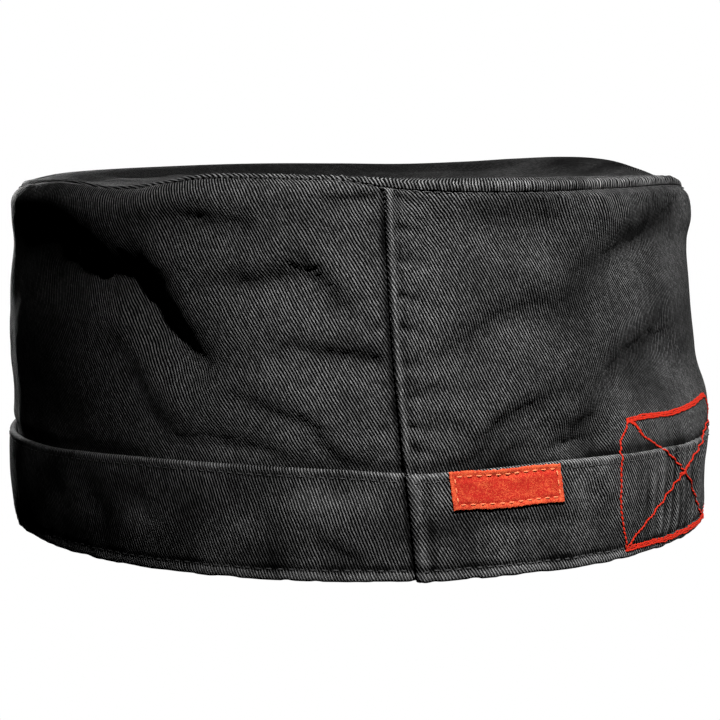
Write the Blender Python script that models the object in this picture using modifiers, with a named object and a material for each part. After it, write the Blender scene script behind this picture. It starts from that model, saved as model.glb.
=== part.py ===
"""A soft fatigue cap in washed black cotton twill, with its back seam, band, top and stiff peak.

Metres, +Z up. The origin is the middle of the head opening, on the surface that the cap rests on.
The back seam is at -Y and the peak points to +Y. An angle is in degrees round the cap from the middle
of the back, and is positive towards +X. The wall and the band are each cut in a left and a right half,
joined by a lapped seam at the back, where the right half lies over the left, and by a plain one in front.
"""

import math

import bmesh
import bpy
import numpy as np

# The cap's own sizes.
HALF_WIDTH = 0.0947
HALF_LENGTH = 0.0985
CROWN_HEIGHT = 0.0900
FRONT_LIFT = 0.0053
BAND_HEIGHT = 0.0245

# Cloth, and how the pieces seat on each other.
WALL_CLOTH = 0.0012
BAND_CLOTH = 0.0018
TOP_CLOTH = 0.0012
SEAT_GAP = 0.0004
BAND_STEP = 0.0010
WALL_TUCK = 0.0060
BAND_FOOT = 0.0032
BEND_HEIGHT = 0.0030
SEAM_LAP = 0.0032
SEAM_FALL = 0.0044
SEAM_FALL_START = 0.25
FRONT_SEAM_GAP = 0.0004

# The rim, where the wall rolls over to the top.
RIM_TUCK = 0.0030
TOP_BEAD = 0.0006
TOP_DIP = 0.0022
TOP_SAG = 0.0060
DIP_BREADTH = 0.0060
FOLD_DEPTH = 0.0040

# The peak and the label.
PEAK_REACH = 0.0620
PEAK_CLOTH = 0.0034
PEAK_END_WIDTH = 0.0024
PEAK_END_SLANT = 0.0050
PEAK_HALF_ANGLE = 64.0
PEAK_SEAT = 0.0024
PEAK_TIP_HEIGHT = 0.0085
PEAK_FLOOR_GAP = 0.0003
PEAK_ROUNDNESS = 0.85
PEAK_BLEND = 0.0180
LABEL_LENGTH = 0.0290
LABEL_HEIGHT = 0.0090
LABEL_CLOTH = 0.0008
LABEL_FROM_SEAM = 0.0105

# How finely the cloth is cut into facets.
COLUMN_WIDTH = 0.0064
TOP_COLUMN_WIDTH = 0.0084
PEAK_COLUMNS = 32
PEAK_ROWS = 6
LABEL_COLUMNS = 8
LABEL_ROWS = 3
SHARP_ANGLE = 40.0

FRONT = 180.0
MEAN_RADIUS = (HALF_WIDTH + HALF_LENGTH) / 2
DEGREE_OF_ARC = math.radians(1.0) * MEAN_RADIUS

# The side outline: height as a share of CROWN_HEIGHT, and the outline's half width there as a share of
# the full oval, at the left side, at the right side, and at the back and front.
PROFILE_COLUMNS = ("height", "left", "right", "middle")
PROFILE = (
    (0.000, 0.984, 0.976, 1.000),
    (0.040, 0.984, 0.976, 1.000),
    (0.130, 0.992, 0.986, 1.002),
    (0.272, 0.995, 1.002, 1.000),
    (0.350, 0.984, 0.990, 0.996),
    (0.500, 0.982, 0.966, 0.994),
    (0.700, 0.982, 0.941, 0.994),
    (0.820, 0.984, 0.933, 0.996),
    (0.900, 0.988, 0.947, 0.998),
    (1.000, 0.988, 0.938, 0.996),
)

# The back seam leans: the angle of the seam at a height, as a share of CROWN_HEIGHT.
SEAM_COLUMNS = ("height", "angle")
SEAM = (
    (0.00, 1.7),
    (0.20, 0.5),
    (0.40, -0.7),
    (0.70, -2.0),
    (1.00, -2.8),
)

# The rim: the angle, how far the rim stands above or below CROWN_HEIGHT as a share of it, and the radius
# of the roll from the wall to the top as a share of FOLD_DEPTH.
RIM_COLUMNS = ("angle", "rise", "roll")
RIM = (
    (-180, 0.000, 0.90),
    (-120, 0.000, 0.90),
    (-75, 0.000, 1.00),
    (-60, -0.006, 1.20),
    (-42, -0.030, 1.45),
    (-28, -0.008, 1.45),
    (-8, 0.000, 1.20),
    (2, 0.000, 0.75),
    (60, 0.004, 0.65),
    (90, -0.006, 0.75),
    (125, 0.010, 0.80),
    (160, 0.014, 0.90),
    (180, 0.000, 0.90),
)

# Long soft dents and puckers: a run from one angle and height to another, the dent's breadth, and its
# depth, which is negative where the cloth swells. Heights and breadths are shares of CROWN_HEIGHT, and
# depths of FOLD_DEPTH.
FOLD_COLUMNS = ("angle_1", "height_1", "angle_2", "height_2", "breadth", "depth")
FOLDS = (
    (-64, 0.86, -46, 0.78, 0.10, 0.80),
    (-46, 0.78, -38, 0.62, 0.09, 1.00),
    (-38, 0.62, -30, 0.48, 0.08, 0.80),
    (-34, 0.88, -18, 0.66, 0.10, -0.35),
    (-38, 0.85, -23, 0.83, 0.06, 0.30),
    (-29, 0.70, -13, 0.71, 0.06, 0.55),
    (-13, 0.71, -7, 0.64, 0.06, 0.50),
    (-21, 0.56, -2, 0.50, 0.06, 0.50),
    (-23, 0.42, -14, 0.37, 0.06, 0.60),
    (-14, 0.37, -8, 0.28, 0.06, 0.60),
    (-32, 0.30, -20, 0.30, 0.07, 0.80),
    (-48, 0.50, -34, 0.32, 0.08, 0.45),
    (50, 0.84, 34, 0.76, 0.07, 0.80),
    (34, 0.76, 20, 0.70, 0.08, 0.80),
    (24, 0.63, 6, 0.53, 0.08, 0.60),
    (7, 0.88, 30, 0.87, 0.06, 0.35),
    (42, 0.56, 30, 0.42, 0.10, 0.60),
    (30, 0.42, 28, 0.29, 0.09, 0.60),
    (10, 0.29, 26, 0.41, 0.07, 0.45),
    (42, 0.50, 56, 0.44, 0.09, 0.45),
    (58, 0.90, 76, 0.88, 0.07, -0.40),
    (-9, 0.08, -3, 0.02, 0.05, 0.35),
    (118, 0.55, 160, 0.45, 0.10, 0.45),
    (-120, 0.62, -160, 0.50, 0.10, 0.45),
    (-100, 0.35, -80, 0.60, 0.10, 0.40),
    (100, 0.72, 130, 0.80, 0.09, 0.45),
)

# Folds of the top: a run from one place to another in shares of the oval, and breadth and depth as above.
TOP_FOLD_COLUMNS = ("x_1", "y_1", "x_2", "y_2", "breadth", "depth")
TOP_FOLDS = (
    (-0.80, -0.30, -0.30, -0.75, 0.10, 0.50),
    (-0.50, 0.10, 0.35, -0.25, 0.16, 0.40),
    (0.20, 0.60, 0.70, 0.20, 0.12, 0.45),
)


def table(columns, rows):
    """The table's columns by name, each as an array."""
    return dict(zip(columns, np.array(rows, float).T))


PROFILE_OF = table(PROFILE_COLUMNS, PROFILE)
SEAM_OF = table(SEAM_COLUMNS, SEAM)
RIM_OF = table(RIM_COLUMNS, RIM)
FOLD_OF = table(FOLD_COLUMNS, FOLDS)
TOP_FOLD_OF = table(TOP_FOLD_COLUMNS, TOP_FOLDS)


def smooth(value):
    """Rises from 0 to 1 without a corner as value goes from 0 to 1."""
    t = min(max(value, 0.0), 1.0)
    return t * t * (3 - 2 * t)


def wrapped(angle):
    """The same direction as an angle between -180 and 180 degrees."""
    return (angle + FRONT) % (2 * FRONT) - FRONT


def outline_share(angle, height):
    """How wide the cap is at an angle and height, as a share of the full oval."""
    share = height / CROWN_HEIGHT
    across = math.sin(math.radians(angle))
    side = "right" if across > 0 else "left"
    middle = np.interp(share, PROFILE_OF["height"], PROFILE_OF["middle"])
    return middle + (np.interp(share, PROFILE_OF["height"], PROFILE_OF[side]) - middle) * across**2


def front_lift(angle):
    """How far the peak's arch lifts the cap's lower edge off the surface."""
    return FRONT_LIFT * max(0.0, -math.cos(math.radians(angle))) ** 2


def seam_angle(height):
    return float(np.interp(height / CROWN_HEIGHT, SEAM_OF["height"], SEAM_OF["angle"]))


def rim_height(angle):
    rise = np.interp(wrapped(angle), RIM_OF["angle"], RIM_OF["rise"])
    return float(CROWN_HEIGHT * (1 + rise))


def rim_roll(angle):
    return float(FOLD_DEPTH * np.interp(wrapped(angle), RIM_OF["angle"], RIM_OF["roll"]))


def run_depth(x, y, x_1, y_1, x_2, y_2, breadth, depth):
    """The depth at a point of all dents whose middle lines run from point 1 to point 2."""
    along = ((x - x_1) * (x_2 - x_1) + (y - y_1) * (y_2 - y_1)) / ((x_2 - x_1) ** 2 + (y_2 - y_1) ** 2)
    along = np.clip(along, 0.0, 1.0)
    off = np.hypot(x - x_1 - along * (x_2 - x_1), y - y_1 - along * (y_2 - y_1))
    return float(np.sum(depth * np.exp(-((off / breadth) ** 2))))


def fold_depth(angle, height):
    """How far the wall is pushed in at an angle and height by all its folds."""
    f = FOLD_OF
    return FOLD_DEPTH * run_depth(
        math.radians(wrapped(angle)) * MEAN_RADIUS,
        height,
        np.radians(f["angle_1"]) * MEAN_RADIUS,
        f["height_1"] * CROWN_HEIGHT,
        np.radians(f["angle_2"]) * MEAN_RADIUS,
        f["height_2"] * CROWN_HEIGHT,
        f["breadth"] * CROWN_HEIGHT,
        f["depth"],
    )


def place(angle, height, inset, rise):
    """The point at an angle, at rise above the lower edge, on the outline of a height moved in by inset."""
    t = math.radians(angle)
    share = outline_share(angle, height)
    across, back = math.sin(t), -math.cos(t)
    length = math.hypot(across / HALF_WIDTH, back / HALF_LENGTH)
    normal_x, normal_y = across / HALF_WIDTH / length, back / HALF_LENGTH / length
    inset = inset + fold_depth(angle, height)
    return (
        HALF_WIDTH * share * across - inset * normal_x,
        HALF_LENGTH * share * back - inset * normal_y,
        rise + front_lift(angle),
    )


def over_seam(angle, height):
    """1 along the lapped edge at the back seam, falling to 0 where the two halves lie at one level."""
    off = abs(angle - seam_angle(height)) * DEGREE_OF_ARC
    falling = (off - SEAM_LAP) / SEAM_FALL
    return 1 - smooth((falling - SEAM_FALL_START) / (1 - SEAM_FALL_START))


def column_angles(height, side):
    """The angles of a half's columns, from the back seam to the front, close together at the lap."""
    seam = seam_angle(height)
    lap = SEAM_LAP / DEGREE_OF_ARC
    fall = SEAM_FALL / DEGREE_OF_ARC
    end = FRONT - FRONT_SEAM_GAP / 2 / DEGREE_OF_ARC
    columns = round((FRONT * DEGREE_OF_ARC - SEAM_LAP - SEAM_FALL) / COLUMN_WIDTH)
    if side == "right":
        near = [seam, seam + lap / 2, seam + lap, seam + lap + fall / 2]
        return np.concatenate((near, np.linspace(seam + lap + fall, end, columns + 1)))
    near = [seam + lap, seam, seam - fall / 2]
    return np.concatenate((near, np.linspace(seam - fall, -end, columns + 1)))


def half_columns():
    """How many columns of facets the right and the left half have."""
    return {side: len(column_angles(0.0, side)) - 1 for side in ("right", "left")}


def bent_cloth(name, columns, rows, point, thickness, offset, material, turned=False):
    """A flat grid of cloth bent into shape: point gives the place of a column and row, then the cloth
    gets its thickness, all inwards for an offset of -1."""
    shape = bmesh.new()
    bmesh.ops.create_grid(shape, x_segments=columns, y_segments=rows, size=0.5)
    for vertex in shape.verts:
        column = round((vertex.co.x + 0.5) * columns)
        row = round((vertex.co.y + 0.5) * rows)
        vertex.co = point(column, row)
    bmesh.ops.remove_doubles(shape, verts=shape.verts, dist=1e-6)
    if turned:
        bmesh.ops.reverse_faces(shape, faces=shape.faces)
    mesh = bpy.data.meshes.new(name)
    shape.to_mesh(mesh)
    shape.free()
    cloth = bpy.data.objects.new(name, mesh)
    solid = cloth.modifiers.new("cloth", "SOLIDIFY")
    solid.thickness = thickness
    solid.offset = offset
    solid.use_even_offset = True
    mesh.materials.append(material)
    mesh.shade_smooth()
    mesh.set_sharp_from_angle(angle=math.radians(SHARP_ANGLE))
    bpy.data.collections["fatigue_cap"].objects.link(cloth)
    return cloth


def band_point(angle, height, side):
    """A point on the band's outer face. The right half's lapped edge lies over the left half's."""
    lift = (BAND_CLOTH + SEAT_GAP) * over_seam(angle, height) if side == "right" else 0.0
    return place(angle, height, -lift, height)


# The heights of the band's rows: its foot stands upright, and one row is level with the wall's lower edge.
WALL_FOOT = BAND_HEIGHT - WALL_TUCK
BAND_ROWS = (0.0, BAND_FOOT, (BAND_FOOT + WALL_FOOT) / 2, WALL_FOOT, BAND_HEIGHT)


def band(side, material):
    """Half of the doubled band round the cap's lower edge. Its foot stands upright on the surface."""

    def point(column, row):
        height = BAND_ROWS[row]
        return band_point(column_angles(height, side)[column], height, side)

    columns = half_columns()[side]
    rows = len(BAND_ROWS) - 1
    bent_cloth("band_" + side, columns, rows, point, BAND_CLOTH, -1, material, turned=side == "left")


# The wall from its tucked lower edge up: the height as a share of the way from the band's upper edge to
# the roll at the rim, for the rows between the bend at the band and the roll.
WALL_ROWS = (0.12, 0.24, 0.36, 0.48, 0.60, 0.72, 0.84, 0.94)

# The share of the wall over which the right half's edge comes up from level to wholly over the left's.
LAP_RISE = 0.30

# The roll from the wall to the top: how far round it each row is, in degrees.
ROLL_ROWS = (0.0, 35.0, 65.0, 90.0)


def wall_rows(angle):
    """The rows of the wall at an angle: height, inset, and the share of the lap that is lifted."""
    under_band = BAND_CLOTH + SEAT_GAP
    roll = rim_roll(angle)
    foot = BAND_HEIGHT + BEND_HEIGHT
    head = rim_height(angle) - roll
    rows = [
        (WALL_FOOT, under_band, 0.0, 0.0),
        (BAND_HEIGHT + SEAT_GAP / 2, under_band, 0.0, 0.0),
        (foot, BAND_STEP, 0.0, 0.0),
    ]
    rows += [
        (foot + share * (head - foot), BAND_STEP, 0.0, smooth(share / LAP_RISE)) for share in WALL_ROWS
    ]
    for turn in ROLL_ROWS:
        t = math.radians(turn)
        height = head + roll * math.sin(t)
        inset = BAND_STEP + roll * (1 - math.cos(t))
        rows.append((height, inset, turn, 1 - smooth(turn / ROLL_ROWS[-2])))
    rows.append((head + roll, BAND_STEP + roll + RIM_TUCK, ROLL_ROWS[-1], 0.0))
    return rows


def wall_point(angle, row, side):
    """A point on the wall's outer face. Where the seam shows, the right half lies over the left, and in
    the tucks under the band and the top the left half's edge goes under instead."""
    height, inset, turn, shown = wall_rows(angle)[row]
    step = (WALL_CLOTH + SEAT_GAP) * over_seam(angle, height)
    step = step * shown if side == "right" else -step * (1 - shown)
    t = math.radians(turn)
    return place(angle, height, inset - step * math.cos(t), height + step * math.sin(t))


def wall(side, material):
    """Half of the crown's side, from its tuck behind the band to its tuck under the top's edge."""
    rows = len(wall_rows(0.0)) - 1

    def point(column, row):
        height = wall_rows(0.0)[row][0]
        return wall_point(column_angles(height, side)[column], row, side)

    columns = half_columns()[side]
    bent_cloth("wall_" + side, columns, rows, point, WALL_CLOTH, -1, material, turned=side == "left")


# The top's rings inside its edge, from the dip behind the bead to the middle: the share of the way in.
TOP_RINGS = (0.00, 0.16, 0.36, 0.60, 0.82, 1.00)
TOP_EDGE_ROWS = 3

# How far in over the rim's roll the top's edge starts, and the share of the way in where its folds are full.
TOP_EDGE_SHARE = 0.6
TOP_FOLD_START = 0.25


def top_point(angle, row):
    """A point on the top's upper face: a turned edge on the rim, a bead, a dip, then the sagging middle."""
    roll = rim_roll(angle)
    rim = rim_height(angle)
    seat = SEAT_GAP + TOP_CLOTH
    edge = BAND_STEP + roll * TOP_EDGE_SHARE
    past_tuck = BAND_STEP + roll + RIM_TUCK + SEAT_GAP
    edge_rows = (
        (edge, seat),
        ((edge + past_tuck) / 2, seat + TOP_BEAD),
        (past_tuck, seat),
    )
    if row < TOP_EDGE_ROWS:
        inset, rise = edge_rows[row]
        return place(angle, rim, inset, rim + rise)
    way_in = TOP_RINGS[row - TOP_EDGE_ROWS]
    x, y, z = place(angle, rim, past_tuck + DIP_BREADTH, rim)
    x, y = x * (1 - way_in), y * (1 - way_in)
    level = CROWN_HEIGHT + FRONT_LIFT / 2
    z = level + (z - level) * (1 - way_in) ** 2 - TOP_DIP - (TOP_SAG - TOP_DIP) * smooth(way_in)
    f = TOP_FOLD_OF
    depth = run_depth(x / HALF_WIDTH, y / HALF_LENGTH, *(f[name] for name in TOP_FOLD_COLUMNS))
    return x, y, z - FOLD_DEPTH * depth * smooth(way_in / TOP_FOLD_START)


def crown_top(material):
    """The oval top, whose turned edge lies on the wall's rolled rim."""
    columns = round(2 * FRONT * DEGREE_OF_ARC / TOP_COLUMN_WIDTH)
    rows = TOP_EDGE_ROWS + len(TOP_RINGS) - 1

    def point(column, row):
        return top_point(2 * FRONT * (column % columns) / columns - FRONT, row)

    bent_cloth("crown_top", columns, rows, point, TOP_CLOTH, -1, material)


def peak_point(turn, reach):
    """A point on the peak's middle layer: turn runs from -1 to 1 across it, reach from root to edge."""
    side_angle = math.radians(PEAK_HALF_ANGLE)
    angle = FRONT - PEAK_HALF_ANGLE * turn
    root_height = PEAK_SEAT
    outside = SEAT_GAP + front_seam_room()
    root_x, root_y, root_z = place(angle, root_height, -outside, root_height)
    half_width = HALF_WIDTH * math.sin(side_angle) + PEAK_END_WIDTH
    foot_y = HALF_LENGTH * math.cos(side_angle)
    first_y = foot_y + PEAK_END_SLANT
    quarter = math.radians(90.0) * turn
    forward = max(math.cos(quarter), 0.0) ** PEAK_ROUNDNESS
    edge_x = half_width * math.sin(quarter)
    edge_y = first_y + (HALF_LENGTH + PEAK_REACH - first_y) * forward
    x = root_x + (edge_x - root_x) * reach
    y = root_y + (edge_y - root_y) * reach
    lowest = PEAK_CLOTH / 2 + PEAK_FLOOR_GAP
    arched = lowest + (PEAK_TIP_HEIGHT - lowest) * (1 - (x / half_width) ** 2)
    blend = smooth(math.hypot(x - root_x, y - root_y) / PEAK_BLEND)
    return x, y, root_z + (arched - root_z) * blend


def front_seam_room():
    """Room for the facets of the band, whose middles lie a little inside its true curve."""
    return COLUMN_WIDTH**2 / (8 * MEAN_RADIUS)


def peak(material):
    """The stiff peak, one plain layered piece sewn to the front of the band."""

    def point(column, row):
        return peak_point(2 * column / PEAK_COLUMNS - 1, row / PEAK_ROWS)

    bent_cloth("peak", PEAK_COLUMNS, PEAK_ROWS, point, PEAK_CLOTH, 0, material)


def label(material):
    """The small woven label on the right half of the band, under the band's upper edge."""
    first = seam_angle(BAND_HEIGHT) + LABEL_FROM_SEAM / DEGREE_OF_ARC
    length = LABEL_LENGTH / DEGREE_OF_ARC

    def point(column, row):
        height = BAND_HEIGHT - LABEL_HEIGHT * (1 - row / LABEL_ROWS)
        angle = first + length * column / LABEL_COLUMNS
        return place(angle, height, -SEAT_GAP - front_seam_room(), height)

    bent_cloth("label", LABEL_COLUMNS, LABEL_ROWS, point, LABEL_CLOTH, 1, material)


def cloth_material(name, colour, roughness):
    material = bpy.data.materials.new(name)
    material.use_nodes = True
    surface = material.node_tree.nodes["Principled BSDF"]
    surface.inputs["Base Color"].default_value = (*colour, 1.0)
    surface.inputs["Roughness"].default_value = roughness
    surface.inputs["Metallic"].default_value = 0.0
    return material


def main():
    for old in list(bpy.data.objects):
        bpy.data.objects.remove(old)
    bpy.context.scene.collection.children.link(bpy.data.collections.new("fatigue_cap"))
    twill = cloth_material("black_twill", (0.030, 0.030, 0.032), 0.85)
    woven = cloth_material("red_woven", (0.62, 0.06, 0.03), 0.75)
    for side in ("left", "right"):
        wall(side, twill)
        band(side, twill)
    crown_top(twill)
    peak(twill)
    label(woven)


main()
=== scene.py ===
# %% [markdown]
# # A washed fatigue cap
#
# This lesson dresses a plain model of a soft fatigue cap in worn black twill. The imported model gives the
# cap's real size and place. Each piece of cloth is then made again over its plain solid as a fine surface,
# with its folds, puckers, seams and stitches, and gets a woven finish.
#
# The crown could be simulated as cloth, but its folds would then fall where the solver puts them. They are
# listed in a short table instead, so that each one lies where this cap has it.

# %% Load the frame and read the cap's sizes from it
import math

import bmesh
import bpy
import numpy as np
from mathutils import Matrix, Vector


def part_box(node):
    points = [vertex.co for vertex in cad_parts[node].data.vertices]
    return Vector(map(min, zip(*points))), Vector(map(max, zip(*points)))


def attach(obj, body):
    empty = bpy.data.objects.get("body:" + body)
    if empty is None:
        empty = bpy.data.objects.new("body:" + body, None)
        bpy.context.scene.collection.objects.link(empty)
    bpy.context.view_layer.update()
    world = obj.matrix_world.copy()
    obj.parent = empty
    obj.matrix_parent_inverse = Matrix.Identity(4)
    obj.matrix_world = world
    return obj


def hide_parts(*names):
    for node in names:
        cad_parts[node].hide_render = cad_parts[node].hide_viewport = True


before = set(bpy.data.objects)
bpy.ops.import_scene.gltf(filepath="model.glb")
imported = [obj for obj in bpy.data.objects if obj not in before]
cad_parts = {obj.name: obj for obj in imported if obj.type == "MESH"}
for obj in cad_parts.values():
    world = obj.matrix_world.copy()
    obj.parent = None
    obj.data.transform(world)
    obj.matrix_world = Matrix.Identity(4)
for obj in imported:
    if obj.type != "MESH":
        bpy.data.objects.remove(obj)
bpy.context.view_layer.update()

MM = 0.001
BAND_HEIGHT = 24.5 * MM
band_low, band_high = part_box("band_left")
HALF_WIDTH = (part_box("band_right")[1].x - band_low.x) / 2
HALF_LENGTH = (band_high.y - band_low.y) / 2
FRONT_LIFT = band_high.z - BAND_HEIGHT
CROWN_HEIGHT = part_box("wall_left")[1].z - FRONT_LIFT
MEAN_RADIUS = (HALF_WIDTH + HALF_LENGTH) / 2
FRONT = 180.0
ARC = math.radians(1) * MEAN_RADIUS
print(f"cap {2 * HALF_WIDTH / MM:.0f} mm wide, crown {CROWN_HEIGHT / MM:.0f} mm high")

# %% [markdown]
# ## Measures round the cap
#
# A place on the cap is an angle and a height. The angle is in degrees from the middle of the back, and is
# positive to the right as seen from behind. ARC is the length of cloth in one degree. The tables below hold
# the outline, the lean of the back seam and the rim as a few rows each, and a smooth curve runs through the
# rows. Straight runs between the rows would show as creases all round the cloth.

# %% Curves through short tables
def neighbours(row):
    """Each item of a row with the next one."""
    return zip(row[:-1], row[1:])


def table(columns, rows):
    """The table's columns by name, each as an array."""
    return dict(zip(columns, np.array(rows, float).T))


def ease(value):
    """Rises from 0 to 1 without a corner: 3 t^2 - 2 t^3, with t held between 0 and 1."""
    t = np.clip(value, 0, 1)
    return t * t * (3 - 2 * t)


def hill(value, middle, breadth):
    """A bell round middle: e to the minus square of the distance over breadth."""
    return np.exp(-(((value - middle) / breadth) ** 2))


def between(value, start, rise, end, fall):
    """1 well inside start and end, eased to 0 at both over the lengths rise and fall."""
    return ease((value - start) / rise) * ease((end - value) / fall)


def round_off(value):
    """Rises from 0 to 1 along a quarter circle, with value held between 0 and 1."""
    return np.sqrt(1 - (1 - np.clip(value, 0, 1)) ** 2)


def through(x, knots, values):
    """A smooth curve through a table: each stretch is the cubic whose slope at a knot is the mean of the
    slopes on both sides of it."""
    slopes = np.diff(values) / np.diff(knots)
    bends = np.concatenate((slopes[:1], (slopes[1:] + slopes[:-1]) / 2, slopes[-1:]))
    x = np.clip(x, knots[0], knots[-1])
    k = np.clip(np.searchsorted(knots, x) - 1, 0, len(knots) - 2)
    width = knots[k + 1] - knots[k]
    t = (x - knots[k]) / width
    start = (1 + 2 * t) * (1 - t) ** 2 * values[k] + t * (1 - t) ** 2 * width * bends[k]
    end = t**2 * (3 - 2 * t) * values[k + 1] + t**2 * (t - 1) * width * bends[k + 1]
    return start + end


# %% Soft noise, and how uneven each part of the cloth is
LATTICE = 128


def soft_noise(x, y, size, seed):
    """Smooth hills and hollows from -1 to 1, about size apart: random heights at the corners of a square
    lattice, eased from corner to corner."""
    heights = np.random.RandomState(seed).uniform(-1, 1, (LATTICE, LATTICE))
    i, j = np.floor(x / size).astype(int), np.floor(y / size).astype(int)
    u, v = ease(x / size - i), ease(y / size - j)
    i, j = i % LATTICE, j % LATTICE
    i_next, j_next = (i + 1) % LATTICE, (j + 1) % LATTICE
    low = heights[i, j] * (1 - u) + heights[i_next, j] * u
    high = heights[i, j_next] * (1 - u) + heights[i_next, j_next] * u
    return low * (1 - v) + high * v


# Unevenness by place: its depth and size in mm, how far x leans with y, how much y counts, how much x adds
# to y, and its seed.
UNEVEN = {
    "wall_broad": (0.45, 17.0, 0.0, 1.3, 0.0, 11),
    "wall_fine": (0.16, 6.0, 0.5, 1.0, 0.0, 12),
    "wall_at_band": (0.55, 4.5, 0.0, 0.25, 0.1, 13),
    "wall_at_rim": (0.60, 2.8, 0.7, 0.3, 0.0, 14),
    "band_broad": (0.22, 11.0, 0.0, 0.8, 0.0, 21),
    "band_fine": (0.09, 4.0, 0.0, 1.0, 0.0, 22),
    "band_at_hem": (0.42, 2.6, 0.0, 0.3, 0.0, 24),
    "top_broad": (0.50, 16.0, 0.0, 1.0, 0.0, 31),
    "top_fine": (0.15, 6.0, 0.0, 1.0, 0.0, 32),
    "peak": (0.12, 9.0, 0.0, 1.0, 0.0, 41),
    "label_edge": (0.12, 0.7, 1 / 3, 1.0, 0.0, 71),
    "label": (0.10, 2.2, 0.0, 1.0, 0.0, 72),
}


def uneven(place, x, y):
    """A row of the table as depth times soft noise."""
    depth, size, lean, stretch, drift, seed = UNEVEN[place]
    return depth * MM * soft_noise(x + lean * y, stretch * y + drift * x, size * MM, seed)


# %% The outline, the back seam and the rim
# Half width as a share of the full oval at a height in mm, on the left, on the right, and back and front.
PROFILE = table(
    ("height", "left", "right", "middle"),
    (
        (0.0, 0.992, 0.990, 0.999),
        (4.0, 0.998, 0.994, 1.001),
        (12.0, 1.006, 0.995, 1.002),
        (24.5, 1.006, 1.008, 1.000),
        (32.0, 1.003, 1.010, 0.998),
        (45.0, 1.010, 0.968, 0.995),
        (63.0, 1.003, 0.951, 0.995),
        (74.0, 0.994, 0.942, 0.996),
        (81.0, 0.999, 0.954, 0.998),
        (86.0, 0.999, 0.940, 0.997),
        (90.0, 0.988, 0.906, 0.996),
    ),
)
SEAM = table(("height", "angle"), ((0, 1.7), (18, 0.5), (36, -0.7), (63, -2.0), (92, -2.8)))
# The rim at an angle: its rise in mm, the radius of its roll in mm, and where on that roll the top's
# stitched ridge starts, in mm from the roll's lower end.
RIM = table(
    ("angle", "rise", "roll", "ridge"),
    (
        (-180, -0.3, 3.6, 2.0),
        (-150, 0.0, 3.6, 2.5),
        (-115, 0.8, 4.4, 3.0),
        (-92, -0.5, 5.6, 4.5),
        (-75, -0.6, 6.4, 7.0),
        (-60, -1.0, 7.2, 9.5),
        (-49, -2.4, 7.4, 10.0),
        (-40, -1.6, 7.0, 9.8),
        (-31, 0.3, 6.4, 9.0),
        (-20, 0.4, 5.2, 7.6),
        (-10, 0.0, 4.4, 6.0),
        (-3, 0.0, 3.4, 2.0),
        (4, 0.0, 3.0, 0.6),
        (58, 0.8, 2.6, 0.6),
        (72, 0.3, 3.0, 0.8),
        (88, 0.8, 3.2, 1.0),
        (100, 2.8, 3.2, 1.2),
        (112, 4.8, 3.2, 1.4),
        (124, 5.0, 3.2, 1.5),
        (138, 3.4, 3.4, 1.5),
        (151, 1.4, 3.4, 1.5),
        (165, -0.1, 3.6, 2.0),
        (180, -0.3, 3.6, 2.0),
    ),
)


# %% The band's upper edge
# How much higher the band's upper edge lies at an angle than its usual height, in mm.
BAND_UP = table(
    ("angle", "up"),
    (
        (-180, 0), (-100, 0), (-60, 0.3), (-50, 1.0), (-41, 1.5), (-30, 1.7), (-20, 1.5), (-7, 0.9),
        (0, 0.15), (5, 0.15), (14, 0.75), (24, 1.2), (30, 1.2), (36, 0.95), (43, 0.7), (58, -0.1),
        (80, 0), (180, 0),
    ),
)
BAND_UP_BREADTH = 9 * MM


# %% Places round the cap
def unit(vectors):
    """The same directions with length 1."""
    return vectors / np.maximum(np.linalg.norm(vectors, axis=-1, keepdims=True), 1e-12)


def wrapped(angle):
    """The same angle, between -180 and 180."""
    return (angle + FRONT) % (2 * FRONT) - FRONT


def rim_value(angle, column):
    """A column of the rim's table at an angle, in metres."""
    return through(wrapped(angle), RIM["angle"], RIM[column]) * MM


def seam_angle(height):
    """Where the leaning back seam lies at a height."""
    return through(height / MM, SEAM["height"], SEAM["angle"])


def outline(angle, height, inset, rise):
    """The oval at an angle, at rise above the lower edge and moved in by inset along its normal. Its half
    widths are the profile's shares at a height, and side and middle blend by the sine squared."""
    t = np.radians(angle)
    across, back = np.sin(t), -np.cos(t)
    level = height / MM
    sides = [through(level, PROFILE["height"], PROFILE[side]) for side in ("left", "right")]
    middle = through(level, PROFILE["height"], PROFILE["middle"])
    share = middle + (np.where(across > 0, sides[1], sides[0]) - middle) * across**2
    length = np.hypot(across / HALF_WIDTH, back / HALF_LENGTH)
    normal_x, normal_y = across / HALF_WIDTH / length, back / HALF_LENGTH / length
    lift = FRONT_LIFT * np.maximum(0, -np.cos(t)) ** 2
    band_up = through(wrapped(angle), BAND_UP["angle"], BAND_UP["up"]) * MM
    lift = lift + band_up * hill(height, BAND_HEIGHT, BAND_UP_BREADTH)
    x = HALF_WIDTH * share * across - inset * normal_x
    y = HALF_LENGTH * share * back - inset * normal_y
    return np.stack(np.broadcast_arrays(x, y, rise + lift), -1)


# %% [markdown]
# ## Folds
#
# A real fold is a long hollow with a swelling beside it, and it fades out at both ends. It could be drawn
# with a sculpting brush or with a painted height map. Here it is a row of knots in a table, and a function
# turns the distance from the line through the knots into a height, so a fold can be moved by one number.

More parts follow.
